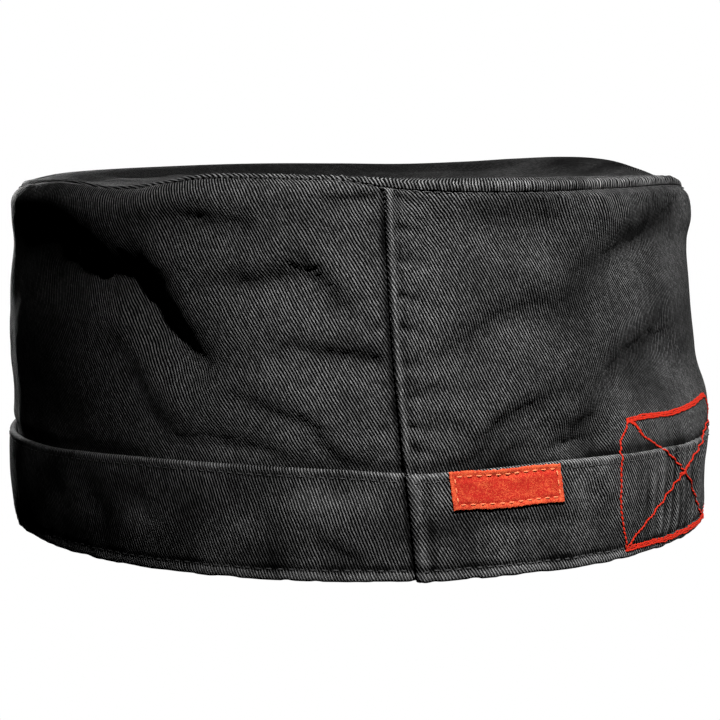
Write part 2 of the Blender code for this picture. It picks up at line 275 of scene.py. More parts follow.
# %% The folds of the crown and of the band
# Each fold is a row of knots along its shaded side: angle in degrees, height, breadth and depth in mm.
CROWN_FOLDS = (
    ((-80, 79, 6, 0), (-68, 82, 6, 2.4), (-58, 82, 6, 2.6), (-50, 78, 5.5, 2.2), (-46, 74, 5, 1),
     (-44, 72, 5, 0)),
    ((-68, 73, 5, 0), (-58, 72, 5, 1.8), (-52, 70.5, 5, 2.6), (-46, 70.8, 5, 3), (-39.5, 70, 6.5, 4.2),
     (-36, 65, 6.5, 4.5), (-33.5, 59, 6.5, 4.3), (-31, 54, 5.6, 3.3), (-28, 50, 4.2, 2),
     (-26, 46.5, 3.4, 0)),
    ((-47, 58, 4, 0), (-43, 51.7, 4, 1.1), (-39, 44, 4.2, 1.6), (-37, 38.4, 4.6, 1.4),
     (-34, 33, 5.2, 1.2), (-33, 28, 5.2, 0.8)),
    ((-37, 30, 5, 0), (-31, 31, 6, 1.8), (-26, 31, 6, 2.3), (-20, 29, 5.5, 2.1), (-15, 27, 3.8, 1),
     (-12, 25.5, 3, 0)),
    ((-44, 82, 3, 0), (-38, 82, 3, 1.1), (-30, 82.2, 3, 1.4), (-23, 81, 3, 1.1), (-18, 80.5, 3, 0)),
    ((-33, 68, 3, 0), (-28, 68.2, 3, 0.8), (-21, 68, 3.2, 1.5), (-14, 70.3, 3.4, 2.1),
     (-11, 67.7, 3.4, 2), (-9, 63.5, 3.2, 1.5), (-6, 60, 3, 0.4)),
    ((-21, 53.5, 3, 0), (-15, 53.2, 3, 1), (-9, 52, 3.4, 1.9), (-3, 51, 3.4, 1.9), (0, 50.6, 2.6, 0)),
    ((-27, 43, 3, 0), (-22, 41.3, 3, 1.1), (-18, 38.6, 3.2, 1.5), (-13, 35.6, 3.2, 1.7),
     (-11, 31.2, 3.2, 1.7), (-9, 26.5, 3.2, 1.5)),
    ((0, 83, 4, 0), (5, 82.2, 4.5, 1.1), (13, 82.5, 5, 1.8), (22, 82.2, 5, 1.7), (30, 81.1, 4.5, 0.9),
     (36, 80.5, 4, 0)),
    ((64, 87.5, 5, 0), (57, 85.5, 6.5, 1.6), (51, 83, 7.5, 2.7), (42, 78.5, 8, 3.7), (35, 74, 7.5, 3.4),
     (28, 70, 6, 2), (22, 67.5, 5, 0)),
    ((37, 59, 5, 0), (30, 60.5, 5, 1), (23, 62.2, 5.5, 2), (19, 62, 5.5, 2.2), (15, 60.6, 5, 2.1),
     (12, 58.5, 4.8, 1.9), (9, 55.5, 4.4, 1.7), (5, 51.2, 4.2, 1.5), (1, 47, 4, 0)),
    ((73, 38, 6, 0), (65, 42, 7, 1.5), (57, 47.5, 8, 2.5), (48, 52.5, 9, 3.3), (41, 51, 8.5, 3.6),
     (35, 47, 8, 3), (31, 42, 7, 2.2), (28, 35, 6, 1.5), (25.5, 29, 5, 0.8)),
    ((7, 25, 3.2, 0.8), (10, 27.7, 3.2, 1.8), (13, 34.3, 3.4, 2.4), (18, 38.9, 3.4, 2.2),
     (24, 42, 3, 0.8), (28, 44, 3, 0)),
    ((13, 25.5, 3.2, 1.2), (15, 27.8, 3.4, 2.1), (20, 33.4, 3.8, 2.2), (29, 35, 4.2, 1.9),
     (37, 37, 3.5, 0)),
    ((17, 25.5, 3.2, 1.6), (21, 27, 3.6, 2.3), (27, 28.6, 4, 2.3), (34, 29.5, 3.4, 0)),
    ((0, 44.6, 2.4, 0.9), (5, 43.8, 2.4, 1.1), (9, 43, 2.2, 0)),
    ((4, 39, 2.5, 0), (6, 37, 2.6, 1), (9, 33, 2.6, 1), (11, 29, 2.5, 0)),
    ((-15, 87, 2, 0), (-9, 86.4, 2.4, 1.2), (-4, 87.2, 2.2, 1.3)),
    ((-124, 32, 8, 0), (-114, 42, 9, 1.5), (-103, 54, 9, 1.6), (-94, 64, 8, 0)),
    ((96, 60, 8, 0), (112, 68, 9, 2), (132, 74, 8, 0)),
    ((116, 50, 9, 0), (140, 45, 10, 2), (165, 38, 9, 0)),
    ((-122, 58, 9, 0), (-142, 50, 10, 2), (-166, 44, 9, 0)),
)
BAND_FOLDS = (
    ((-14, 12, 2.4, 0), (-10, 8.6, 2.4, 0.9), (-7, 6.2, 2.4, 1), (-4.5, 5, 2.4, 0)),
    ((4, 15.5, 2.4, 0), (8, 14.4, 2.4, 0.6), (17, 12.9, 2.6, 0.8), (30, 11.9, 2.6, 0.6),
     (34, 12, 2.4, 0)),
    ((26, 21, 3, 0), (30, 17, 3.4, 1), (31, 12, 3.2, 0.8), (30, 8, 3, 0)),
    ((-59, 23, 3.4, 0), (-55, 14, 3.6, 0.5), (-51, 4, 3.4, 0)),
    ((-49, 23, 3.2, 0), (-46, 14, 3.4, 0.6), (-42, 4, 3.2, 0)),
    ((-40, 23, 3, 0), (-37, 14, 3.2, 0.5), (-33, 5, 3, 0)),
    ((-20, 22, 2.2, 0), (-19, 16, 2.2, 0.4), (-16, 10, 2.2, 0)),
    ((-8, 22, 2, 0), (-7.5, 17, 2, 0.4), (-6, 12, 2, 0)),
)


# %% How far the folds move the cloth
SHADED_SIDE = 0.7
GENTLE_SIDE = 1.5
FOLD_BLEND = 1.0 * MM
SWELLING = 0.40
SWELLING_OFF = 1.2
SWELLING_BREADTH = 1.1


def fold_height(angle, height, folds):
    """How far cloth stands out at a place. At s breadths above the nearest stretch of a fold's shaded side,
    that is minus depth times e to the -(s + 0.7)^2, and a weaker swelling further up. Below -0.7 the
    hollow ends more gently, 1.5 times as broad. Stretches of one fold blend where they meet."""
    x = wrapped(angle) * ARC
    total = 0
    for knots in folds:
        distances, pushes = [], []
        for start, end in neighbours(np.array(knots) * (ARC, MM, MM, MM)):
            run_x, run_y, wider, deeper = end - start
            off_x, off_y = x - start[0], height - start[1]
            along = np.clip((off_x * run_x + off_y * run_y) / (run_x**2 + run_y**2), 0, 1)
            off_x, off_y = off_x - along * run_x, off_y - along * run_y
            upper = np.sign((run_x * off_y - run_y * off_x) * run_x)
            distances.append(np.hypot(off_x, off_y))
            s = distances[-1] / (start[2] + wider * along) * upper
            swelling = SWELLING * hill(s, SWELLING_OFF, SWELLING_BREADTH)
            hollow = hill(s, -SHADED_SIDE, np.where(s > -SHADED_SIDE, 1, GENTLE_SIDE))
            pushes.append((start[3] + deeper * ease(along)) * (swelling - hollow))
        nearest = np.min(distances, axis=0)
        weights = [np.exp(-(distance - nearest) / FOLD_BLEND) for distance in distances]
        total = total + sum(w * push for w, push in zip(weights, pushes)) / sum(weights)
    return total


# %% [markdown]
# ## Cloth as a shell
#
# A cloth has an outer face, an inner face and a border. Solidify could thicken one face, but here the
# thickness changes: a hem is round, and the edge of a lapped seam is thin. So each piece is two grids of
# points, worked out as whole arrays, and one helper joins them along their borders into a closed shell.
# The helper also lays down the cloth's own UV map in metres, for the weave, and an attribute for its wear,
# which also carries painted shade.

# %% Joining two grids into a closed shell
def grid_faces(rows, columns, first, flip, ring):
    """The four corners of each face of a grid of points numbered row by row from first."""
    wide = columns if ring else columns - 1
    r, c = np.meshgrid(np.arange(rows - 1), np.arange(wide), indexing="ij")
    after = (c + 1) % columns
    corners = (r * columns + c, r * columns + after, (r + 1) * columns + after, (r + 1) * columns + c)
    faces = first + np.stack(corners, -1).reshape(-1, 4)
    return faces[:, ::-1] if flip else faces


def border_faces(line, inner_offset):
    """Faces from a border of the outer grid to the same border of the inner grid."""
    a, b = line[:-1], line[1:]
    return np.stack((a, a + inner_offset, b + inner_offset, b), -1)


def make_piece(name, points, faces, uv, wear=None):
    """A mesh object from arrays of points and of faces with four corners, riding on the cap."""
    mesh = bpy.data.meshes.new(name)
    mesh.vertices.add(len(points))
    mesh.vertices.foreach_set("co", np.ascontiguousarray(points, np.float32).ravel())
    mesh.loops.add(faces.size)
    mesh.loops.foreach_set("vertex_index", faces.ravel().astype(np.int32))
    mesh.polygons.add(len(faces))
    mesh.polygons.foreach_set("loop_start", np.arange(0, faces.size, faces.shape[1], dtype=np.int32))
    mesh.update(calc_edges=True)
    layer = mesh.uv_layers.new(name="cloth")
    layer.uv.foreach_set("vector", uv[faces.ravel()].astype(np.float32).ravel())
    # The wear attribute holds wear and painted shade alike: the twill makes the cloth paler or darker by
    # it.
    if wear is not None:
        mesh.attributes.new("wear", "FLOAT", "POINT").data.foreach_set("value", wear.astype(np.float32))
    mesh.shade_smooth()
    piece = bpy.data.objects.new(name, mesh)
    bpy.context.scene.collection.objects.link(piece)
    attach(piece, "root")
    return piece


# %% A closed shell
SHARP = 60.0


def welded(mesh):
    """Merges points in one place, such as a last row that has shrunk to a point."""
    shape = bmesh.new()
    shape.from_mesh(mesh)
    bmesh.ops.remove_doubles(shape, verts=shape.verts, dist=1e-7)
    shape.to_mesh(mesh)
    shape.free()


def shell(name, outer, inner, uv, wear, flip=False, disc=False):
    """A closed shell from an outer and an inner grid of the same shape, rows by columns by 3. A disc closes
    on itself round the cap, and all its last row is one point."""
    rows, columns = outer.shape[:2]
    count = rows * columns
    number = np.arange(count).reshape(rows, columns)
    faces = [grid_faces(rows, columns, 0, flip, disc), grid_faces(rows, columns, count, not flip, disc)]
    if disc:
        lines = [np.append(number[0], number[0, 0])]
    else:
        lines = [number[0], number[-1, ::-1], number[::-1, 0], number[:, -1]]
    for line in lines:
        strip = border_faces(line, count)
        faces.append(strip[:, ::-1] if flip else strip)
    points = np.concatenate((outer.reshape(-1, 3), inner.reshape(-1, 3)))
    faces = np.concatenate(faces)
    piece = make_piece(name, points, faces, np.tile(uv.reshape(-1, 2), (2, 1)), np.tile(wear.ravel(), 2))
    if disc:
        welded(piece.data)
    piece.data.set_sharp_from_angle(angle=math.radians(SHARP))
    print(f"{name}: {2 * len(faces)} triangles")
    return piece


# %% [markdown]
# ## The crown's wall
#
# The wall comes up from behind the band, stands a little in from it, and rolls over at the rim to go under
# the top. Its two halves are lapped at the back: the right one has a folded edge that lies over the left,
# with a soft roll and a stitched valley beside it, and the needle has puckered the cloth in short waves.

# %% Lapped seam and puckers
WALL_CLOTH = 0.8 * MM
BAND_CLOTH = 1.8 * MM
THINNEST = 0.2
BAND_STEP = 1.0 * MM
EMERGING = 2.2 * MM
HELD = 0.6 * MM
WRINKLE_PITCH = 4.4 * MM
WRINKLE_DEPTH = 0.35 * MM
TUCK_HEIGHT = 2.4 * MM
WALL_TUCK = 5.0 * MM
RIM_TUCK = 3.0 * MM
RIM_FADE = 1.4 * MM
UNDER_TOP = 0.3 * MM
FRONT_LAP = 1.5 * MM
LAP = {
    "wall": {"level": 1.00, "roll": 0.70, "roll_at": 1.10, "roll_breadth": 0.85, "valley": 0.60,
             "valley_at": 2.5, "valley_breadth": 0.6, "edge": 0.6, "fall_at": 3.4, "fall": 6.0},
    "band": {"level": 1.10, "roll": 0.90, "roll_at": 1.80, "roll_breadth": 1.20, "valley": 0.60,
             "valley_at": 4.3, "valley_breadth": 0.8, "edge": 0.9, "fall_at": 5.2, "fall": 7.0},
}
PUCKER_HEIGHTS = (86.5, 80.0, 73.0, 64.1, 57.3, 49.7, 42.3, 35.6, 30.0)
PUCKER_BREADTH = 1.2
ROPE_PITCH = 1.6 * MM
ROPE_SLANT = 1.1
ROPE_HEIGHT = 0.14 * MM
PUCKER_REACH = 7.0 * MM
PUCKER_DEPTH = 1.3 * MM
PUCKER_START = 1.4 * MM
PUCKER_LEAN = 0.22
PUCKER_SHIFT = 0.8
PUCKER_SWELLING = 0.35
LEFT_PUCKERS = 0.35
UNDER_LAP_DIP = 0.9 * MM
UNDER_LAP_REACH = 1.8 * MM
FRONT_GROOVE = 0.6 * MM
FRONT_GROOVE_BREADTH = 1.0 * MM
FRONT_UNDER = 0.5 * MM


def lap_height(off, kind):
    """How far the right half's face stands out at a distance off its edge: a level that falls back over
    the lap, a roll along the edge, a stitched valley, and a quarter round at the edge itself."""
    lap, mm = LAP[kind], off / MM
    level = lap["level"] * (1 - ease((mm - lap["fall_at"]) / lap["fall"]))
    roll = lap["roll"] * hill(mm, lap["roll_at"], lap["roll_breadth"])
    valley = lap["valley"] * hill(mm, lap["valley_at"], lap["valley_breadth"])
    return (level + roll - valley) * round_off(mm / lap["edge"]) * MM


def under_lap(off):
    """The left half's face dips just before the seam and goes under the lap."""
    return -UNDER_LAP_DIP * ease(off / UNDER_LAP_REACH + 1)


def seam_puckers(angle, height, off):
    """Short dents that the needle has drawn in beside the seam: a narrow valley at each of their heights,
    which leans down away from the seam and fades within their reach."""
    away = np.abs(off)
    level = (height + PUCKER_LEAN * away) / MM + PUCKER_SHIFT * soft_noise(off, height, 3 * MM, 3)
    valleys = sum(hill(level, pucker, PUCKER_BREADTH) for pucker in PUCKER_HEIGHTS)
    fading = ease(away / PUCKER_START - 1) * hill(off, 0, PUCKER_REACH)
    return PUCKER_DEPTH * (PUCKER_SWELLING - valleys) * fading


# %% Rows and columns of the wall
WALL_STEPS = (3, 104, 12, 3)
FINEST_COLUMN = 0.13 * MM
COLUMN_GROWTH = 1.13
COLUMN_WIDTH = 0.9 * MM
UNDER_LAP = np.array((3.2, 2.2, 1.4, 0.8, 0.4, 0.15)) * MM


def rows_of(steps):
    """Row numbers that run from stretch to stretch, with the given number of steps in each."""
    parts = [k + np.arange(n) / n for k, n in enumerate(steps)]
    return np.append(np.concatenate(parts), len(steps))


def column_offsets(side):
    """Distances from the seam line, closest together at the seam: each column is wider than the last
    until it has its full width. The left half starts under the lap."""
    widths = [FINEST_COLUMN]
    while sum(widths) < FRONT * ARC:
        widths.append(min(widths[-1] * COLUMN_GROWTH, COLUMN_WIDTH))
    off = np.concatenate(((0.0,), np.cumsum(widths)))
    off = off / off[-1]
    return off if side == "right" else np.concatenate((-UNDER_LAP / (FRONT * ARC), off))


def half_angles(height, side):
    """The angles of a half's columns at some heights, from the back seam to the front one, where the left
    half runs on under the right one."""
    seam = seam_angle(height)[:, None]
    end = FRONT if side == "right" else -FRONT - FRONT_LAP / ARC
    return seam + column_offsets(side)[None, :] * (end - seam)


def front_seam(angle, side):
    """The groove of the front seam, where the left half goes deeper and under the right one."""
    off = (FRONT - np.abs(angle)) * ARC
    groove = FRONT_GROOVE * hill(off, 0, FRONT_GROOVE_BREADTH)
    return groove if side == "right" else groove + FRONT_UNDER * (1 - ease(off / (0.8 * MM) + 0.4))


# %% What the red box does to the cloth in it
def in_box(angle):
    """1 inside the red box and 0 well beside it."""
    return between(angle, 31, 6, 80, 7)


def coming_out(angle, above_band):
    """How deep the wall lies in the band's face at a height above the band. It comes out from far behind
    it, and from less far where the box's stitches hold both."""
    deepest = EMERGING - (EMERGING - HELD) * in_box(angle)
    return BAND_STEP + (deepest - BAND_STEP) * hill(above_band, 0, TUCK_HEIGHT)


def box_wrinkles(angle, height):
    """Upright wrinkles inside the box, from -1 to 1: the stitches have held the cloth while it shrank."""
    x = wrapped(angle) * ARC
    sway = 1.8 * soft_noise(x, height, 9 * MM, 25)
    strength = 0.6 + 0.4 * soft_noise(x, height, 7 * MM, 26)
    return strength * np.sin(2 * np.pi * x / WRINKLE_PITCH + sway) * in_box(angle) * ease((angle - 36) / 10)


# %% The wall's relief
def wall_relief(angle, height, side):
    """All that stands out from or goes into the wall's plain face."""
    x = wrapped(angle) * ARC
    off = (angle - seam_angle(height)) * ARC
    above_band = height - BAND_HEIGHT
    below_rim = CROWN_HEIGHT - height
    relief = fold_height(angle, height, CROWN_FOLDS) * ease((np.abs(off) - 1 * MM) / (5 * MM) + 0.25)
    relief = relief + uneven("wall_broad", x, height) + uneven("wall_fine", x, height)
    relief = relief + uneven("wall_at_band", x, height) * np.exp(-np.abs(above_band) / (5 * MM))
    rim_gather = uneven("wall_at_rim", x, height) * ease(x / (20 * MM) + 0.5)
    relief = relief + rim_gather * np.exp(-np.abs(below_rim - 4 * MM) / (4 * MM))
    relief = relief * ease(above_band / (5 * MM) + 0.15)
    wrinkled = np.exp(-np.maximum(above_band, 0) / (9 * MM))
    relief = relief + WRINKLE_DEPTH * box_wrinkles(angle, height) * wrinkled
    if side == "right":
        roping = np.cos(2 * np.pi * (height + ROPE_SLANT * off) / ROPE_PITCH) * hill(off / MM, 1.0, 0.8)
        relief = relief + seam_puckers(angle, height, off) + lap_height(off, "wall") + ROPE_HEIGHT * roping
    else:
        relief = relief + LEFT_PUCKERS * seam_puckers(angle, height, off) + under_lap(off)
    return relief - front_seam(angle, side)


# %% The rolled rim and the whole face
def roll_place(angle, along, out):
    """A point over the wall's rolled rim. Along is measured up the cloth from the roll's lower end: below
    it the cloth is upright, past the quarter turn it is level. Out moves the point off the cloth."""
    roll = rim_value(angle, "roll")
    head = CROWN_HEIGHT + rim_value(angle, "rise") - roll
    turn = np.clip(along / roll, 0, np.pi / 2)
    level = np.maximum(along - roll * np.pi / 2, 0)
    inset = BAND_STEP + roll * (1 - np.cos(turn)) + level - out * np.cos(turn)
    height = head + np.minimum(along, 0) + roll * np.sin(turn) + out * np.sin(turn)
    return outline(angle, head + roll * np.sin(turn), inset, height)


def wall_face(angle, q, side, sink=0.0):
    """The wall's outer face, moved in by sink. Row number q goes from 0 to 1 behind the band, to 2 up the
    wall, to 3 round the rolled rim and to 4 under the top."""
    behind, up, over, under = (np.clip(q - k, 0, 1) for k in range(4))
    roll = rim_value(angle, "roll")
    head = CROWN_HEIGHT + rim_value(angle, "rise") - roll
    bare = BAND_HEIGHT - WALL_TUCK * (1 - behind) + up * (head - BAND_HEIGHT)
    turn = np.pi / 2 * over
    height = bare + roll * np.sin(turn)
    along = np.where(up < 1, bare - head, roll * turn + under * RIM_TUCK)
    covered = ease((along - rim_value(angle, "ridge") + RIM_FADE) / RIM_FADE)
    out = wall_relief(angle, height, side) * (1 - covered) - sink - UNDER_TOP * covered
    inset = coming_out(angle, up * (head - BAND_HEIGHT)) + roll * (1 - np.cos(turn)) + under * RIM_TUCK
    points = outline(angle, height, inset - out * np.cos(turn), height + out * np.sin(turn))
    length = bare + roll * turn + under * RIM_TUCK
    return points, length


# %% The weave's direction
# How each piece of cloth is turned on the weave, in degrees, and how far the seam bends it near the rim.
GRAIN = {"wall_left": -3.0, "wall_right": 2.0, "band_left": 6.0, "band_right": -4.5}
BENT_FROM = 58 * MM
BENT_LENGTH = 26 * MM
BENT_ACROSS = 20 * MM
BEND = 0.55


def cut_cloth(across, up, piece):
    """Where a point of a piece lies on the flat weave: its place turned by the piece's grain. Beside the
    seam the right half was stretched upwards near the rim, which turns the weave there."""
    if piece == "wall_right":
        rising = np.maximum(up - BENT_FROM, 0) ** 2 / (2 * BENT_LENGTH)
        up = up + BEND * rising * np.exp(-np.abs(across) / BENT_ACROSS)
    turn = math.radians(GRAIN[piece])
    u = across * math.cos(turn) - up * math.sin(turn)
    v = across * math.sin(turn) + up * math.cos(turn)
    return np.stack(np.broadcast_arrays(u, v), -1)


# %% Wear and painted shade on the cloth, and the wall as a shell
def wear_and_painted_shade(*marks):
    """Marks of wear and of painted light and shade, each a strength and a mask: the cloth is paler above 0
    and darker below.
    """
    return np.clip(sum(strength * mask for strength, mask in marks), -1, 1)


# Wear and painted shade along the back seam: the right half's roll is paler as wear, a painted shadow lies
# on the left half beside the seam, and painted shade fills the right half's stitched valley. Each row:
# strength, distance off the edge and breadth in mm, and the half that has it.
SEAM_WEAR_AND_SHADE = {
    "wall": ((0.70, 1.0, 1.0, "right"), (-1.2, -0.3, 1.1, "left"), (-0.35, 2.6, 0.7, "right")),
    "band": ((0.85, 1.6, 1.5, "right"), (-1.2, -0.3, 0.8, "left"), (-0.50, 4.4, 0.9, "right")),
}


def seam_wear_and_shade(kind, off, side):
    """The marks of wear and of painted shade beside the seam on one half."""
    rows = [row for row in SEAM_WEAR_AND_SHADE[kind] if row[3] == side]
    return [(strength, hill(off / MM, place, breadth)) for strength, place, breadth, _ in rows]


def thinned(cloth, off, reach, side):
    """The cloth's thickness, which shrinks to a share of itself at the right half's folded edge."""
    return cloth * (THINNEST + (1 - THINNEST) * ease(np.abs(off) / reach)) if side == "right" else cloth


def make_wall(side):
    """One half of the wall as a shell that gets thin at the folded edge of the seam."""
    q = rows_of(WALL_STEPS)[:, None]
    nominal = BAND_HEIGHT + np.clip(q - 1, 0, 1) * (CROWN_HEIGHT - BAND_HEIGHT)
    angle = half_angles(nominal[:, 0], side)
    off = (angle - seam_angle(nominal)) * ARC
    outer, length = wall_face(angle, q, side)
    inner, _ = wall_face(angle, q, side, sink=thinned(WALL_CLOTH, off, 0.8 * MM, side))
    uv = cut_cloth(angle * ARC, length, "wall_" + side)
    above_band = (nominal - BAND_HEIGHT) / MM
    # Painted shade: the wall right of the seam, from about 4 to 60 degrees, is darkened, and a painted
    # shadow line lies just above the band, blackest inside the box. Inside the box the wall is paler about
    # 5 mm above the band.
    wear = wear_and_painted_shade(
        *seam_wear_and_shade("wall", off, side),
        (-0.45, between(angle, 4, 12, 60, 14)),
        (-0.6, np.exp(-above_band / 1.8)),
        (-1.2, in_box(angle) * np.exp(-above_band / 1.3)),
        (0.45, in_box(angle) * hill(above_band, 5.5, 5)),
    )
    return shell("crown_wall_" + side, outer, inner, uv, wear, flip=side == "left")


# %% Make the wall's halves
cloths = {}
for side in ("left", "right"):
    wall = cloths["crown_wall_" + side] = make_wall(side)
    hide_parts("wall_" + side)

# %% [markdown]
# ## The band
#
# The band is a doubled strip, so both its edges are round. A topstitch runs close under its upper edge, and
# the hem has a stitched groove with a rounded lip below it, which the needle has made slightly wavy. At its
# right end the band has shrunk into fine upright wrinkles.

# %% The band's face
BAND_EDGE = 0.9 * MM
TOPSTITCH_HEIGHT = 22.7 * MM
HEM_STITCH_HEIGHT = 2.7 * MM
BAND_ROW = 0.55 * MM
EDGE_ROWS = np.array((0.0, 0.03, 0.12, 0.28, 0.50, 0.75)) * MM
HEM_WAVE = 0.28 * MM
HEM_WAVE_REACH = 2.2 * MM
HEM_GROOVE = 0.50 * MM
TOPSTITCH_GROOVE = 0.22 * MM
BAND_WRINKLE_DEPTH = 0.38 * MM
BOX_END_VALLEY = 0.60 * MM


def band_relief(angle, height, side):
    """All that stands out from or goes into the band's plain face."""
    x = wrapped(angle) * ARC
    off = (angle - seam_angle(height)) * ARC
    relief = fold_height(angle, height, BAND_FOLDS)
    relief = relief + uneven("band_broad", x, height) + uneven("band_fine", x, height)
    tight = 0.7 + 0.3 * soft_noise(x, height * 0, 3 * MM, 23)
    relief = relief - HEM_GROOVE * hill(height, HEM_STITCH_HEIGHT, 0.65 * MM) * tight
    relief = relief - TOPSTITCH_GROOVE * hill(height, TOPSTITCH_HEIGHT, 0.45 * MM) * tight
    from_hem_stitch = np.abs(height - HEM_STITCH_HEIGHT)
    relief = relief + uneven("band_at_hem", x, height) * np.exp(-from_hem_stitch / (3.6 * MM))
    box_dents = BAND_WRINKLE_DEPTH * box_wrinkles(angle, height) - BOX_END_VALLEY * hill(angle, 75.3, 2.2)
    relief = relief + box_dents * ease(height / (5 * MM))
    if side == "right":
        relief = relief + lap_height(off, "band")
    else:
        relief = relief + under_lap(off)
    return relief - front_seam(angle, side)


def band_face(angle, height, side, sink=0.0):
    """The band's outer face moved in by sink. Near an edge both faces close in on the cloth's middle along
    a quarter circle."""
    from_edge = np.minimum(height, BAND_HEIGHT - height)
    rounding = BAND_EDGE * (1 - round_off(from_edge / BAND_EDGE))
    middle = BAND_CLOTH / 2
    into = np.where(sink > middle, sink - rounding, sink + rounding)
    x = wrapped(angle) * ARC
    wavy = HEM_WAVE * ease(soft_noise(x, x * 0, 3.4 * MM, 27)) * np.exp(-height / HEM_WAVE_REACH)
    return outline(angle, height, into - band_relief(angle, height, side), height + wavy)


# %% The band as a shell
def make_band(side):
    """One half of the band as a shell with round edges."""
    inner_rows = np.arange(1.0 * MM, BAND_HEIGHT - 1.0 * MM, BAND_ROW)
    height = np.concatenate((EDGE_ROWS, inner_rows, BAND_HEIGHT - EDGE_ROWS[::-1]))
    angle = half_angles(height, side)
    height = height[:, None]
    off = (angle - seam_angle(height)) * ARC
    outer = band_face(angle, height, side)
    cloth = np.maximum(thinned(BAND_CLOTH, off, 1.2 * MM, side), BAND_CLOTH / 2 + 0.01 * MM)
    inner = band_face(angle, height, side, sink=cloth)
    uv = cut_cloth(angle * ARC, height, "band_" + side)
    x = wrapped(angle) * ARC
    mm = height / MM
    # edge_shade takes the worn edge's paleness away round -82 degrees on the left, as painted shade there;
    # hem_shade varies the painted shade in the hem's groove.
    edge_shade = 1 - 0.85 * hill(angle, -82, 17)
    hem_shade = 0.6 + 0.4 * soft_noise(x, x * 0, 2 * MM, 29)
    # The upper edge and the hem's lip are paler as wear. Painted shade darkens the hem's stitched groove
    # and the topstitch's groove, and painted light and shade lie on the box's wrinkles, paler on their
    # crests and darker between them. From 36 to 100 degrees the band is a little paler, and a soft noise
    # mottles it.
    wear = wear_and_painted_shade(
        (0.85, hill(mm, 24.5, 0.9) * edge_shade),
        (1.15, 1 - ease((mm - 1.8) / 0.9)),
        (-1.1, hill(mm, HEM_STITCH_HEIGHT / MM + 0.5, 0.9) * hem_shade),
        (-0.25, hill(mm, TOPSTITCH_HEIGHT / MM, 0.5)),
        *seam_wear_and_shade("band", off, side),
        (0.25, between(angle, 36, 20, 100, 20)),
        (0.95, box_wrinkles(angle, height)),
        (0.75, soft_noise(x * 0.8, height, 6 * MM, 28)),
    )
    return shell("band_cloth_" + side, outer, inner, uv, wear, flip=side == "left")


# %% Make the band's halves
for side in ("left", "right"):
    band = cloths["band_cloth_" + side] = make_band(side)
    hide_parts("band_" + side)

# %% [markdown]
# ## The top
#
# The top is an oval whose turned edge makes a stitched ridge over the wall's rolled rim. On the right the
# ridge shows from behind, and on the left the wall has rolled over so far that the ridge lies behind it.
# Inside the ridge the cloth dips and then sags towards the middle.

# %% The top's sizes and folds
TOP_CLOTH = 0.8 * MM
TOP_COLUMNS = 840
RIDGE_HALF = 1.35 * MM
RIDGE_HEIGHT = 0.65 * MM
RIDGE_NOTCH_PITCH = 2.6 * MM
RIDGE_ROUGH = 0.22 * MM
RIDGE_SEAT = 0.15 * MM
NOTCH_DEPTH = 0.9
PAST_ROLL = 1.5 * MM
PAST_RIDGE = 1.0 * MM
TOP_DIP = 2.2 * MM
DIP_SHARE = 0.12
FOLDED_FROM = 0.15
TOP_SAG = 6.0 * MM
TOP_STEPS = (14, 5, 24)
# Folds of the top: x and y of both ends and the breadth as shares of the oval, and the depth in mm.
TOP_FOLDS = (
    (-0.80, -0.30, -0.30, -0.75, 0.10, 2.0),
    (-0.50, 0.10, 0.35, -0.25, 0.16, 1.6),
    (0.20, 0.60, 0.70, 0.20, 0.12, 1.8),
)


def top_relief(x, y):
    """The folds of the top, each a straight hollow that fades from its line, and soft unevenness."""
    relief = uneven("top_broad", x, y) + uneven("top_fine", x, y)
    for x_1, y_1, x_2, y_2, breadth, depth in TOP_FOLDS:
        px, py = x / HALF_WIDTH - x_1, y / HALF_LENGTH - y_1
        run_x, run_y = x_2 - x_1, y_2 - y_1
        along = np.clip((px * run_x + py * run_y) / (run_x**2 + run_y**2), 0, 1)
        off = np.hypot(px - along * run_x, py - along * run_y)
        relief = relief - depth * MM * hill(off, 0, breadth) * np.sin(np.pi * (0.1 + 0.8 * along))
    return relief


# %% The top's ridge and face
def ridge_shown(angle):
    """1 on the ridge's uneven part, which is its right side, and 0 where it is smooth."""
    return between(angle, -25, 20, 98, 14)


def ridge_notches(angle, ridge):
    """Where each stitch has drawn the ridge's lower half in, from 0 to 1."""
    wave = 0.5 + 0.5 * np.cos(2 * np.pi * wrapped(angle) * ARC / RIDGE_NOTCH_PITCH)
    return wave**3 * (1 - ridge) * ridge_shown(angle)


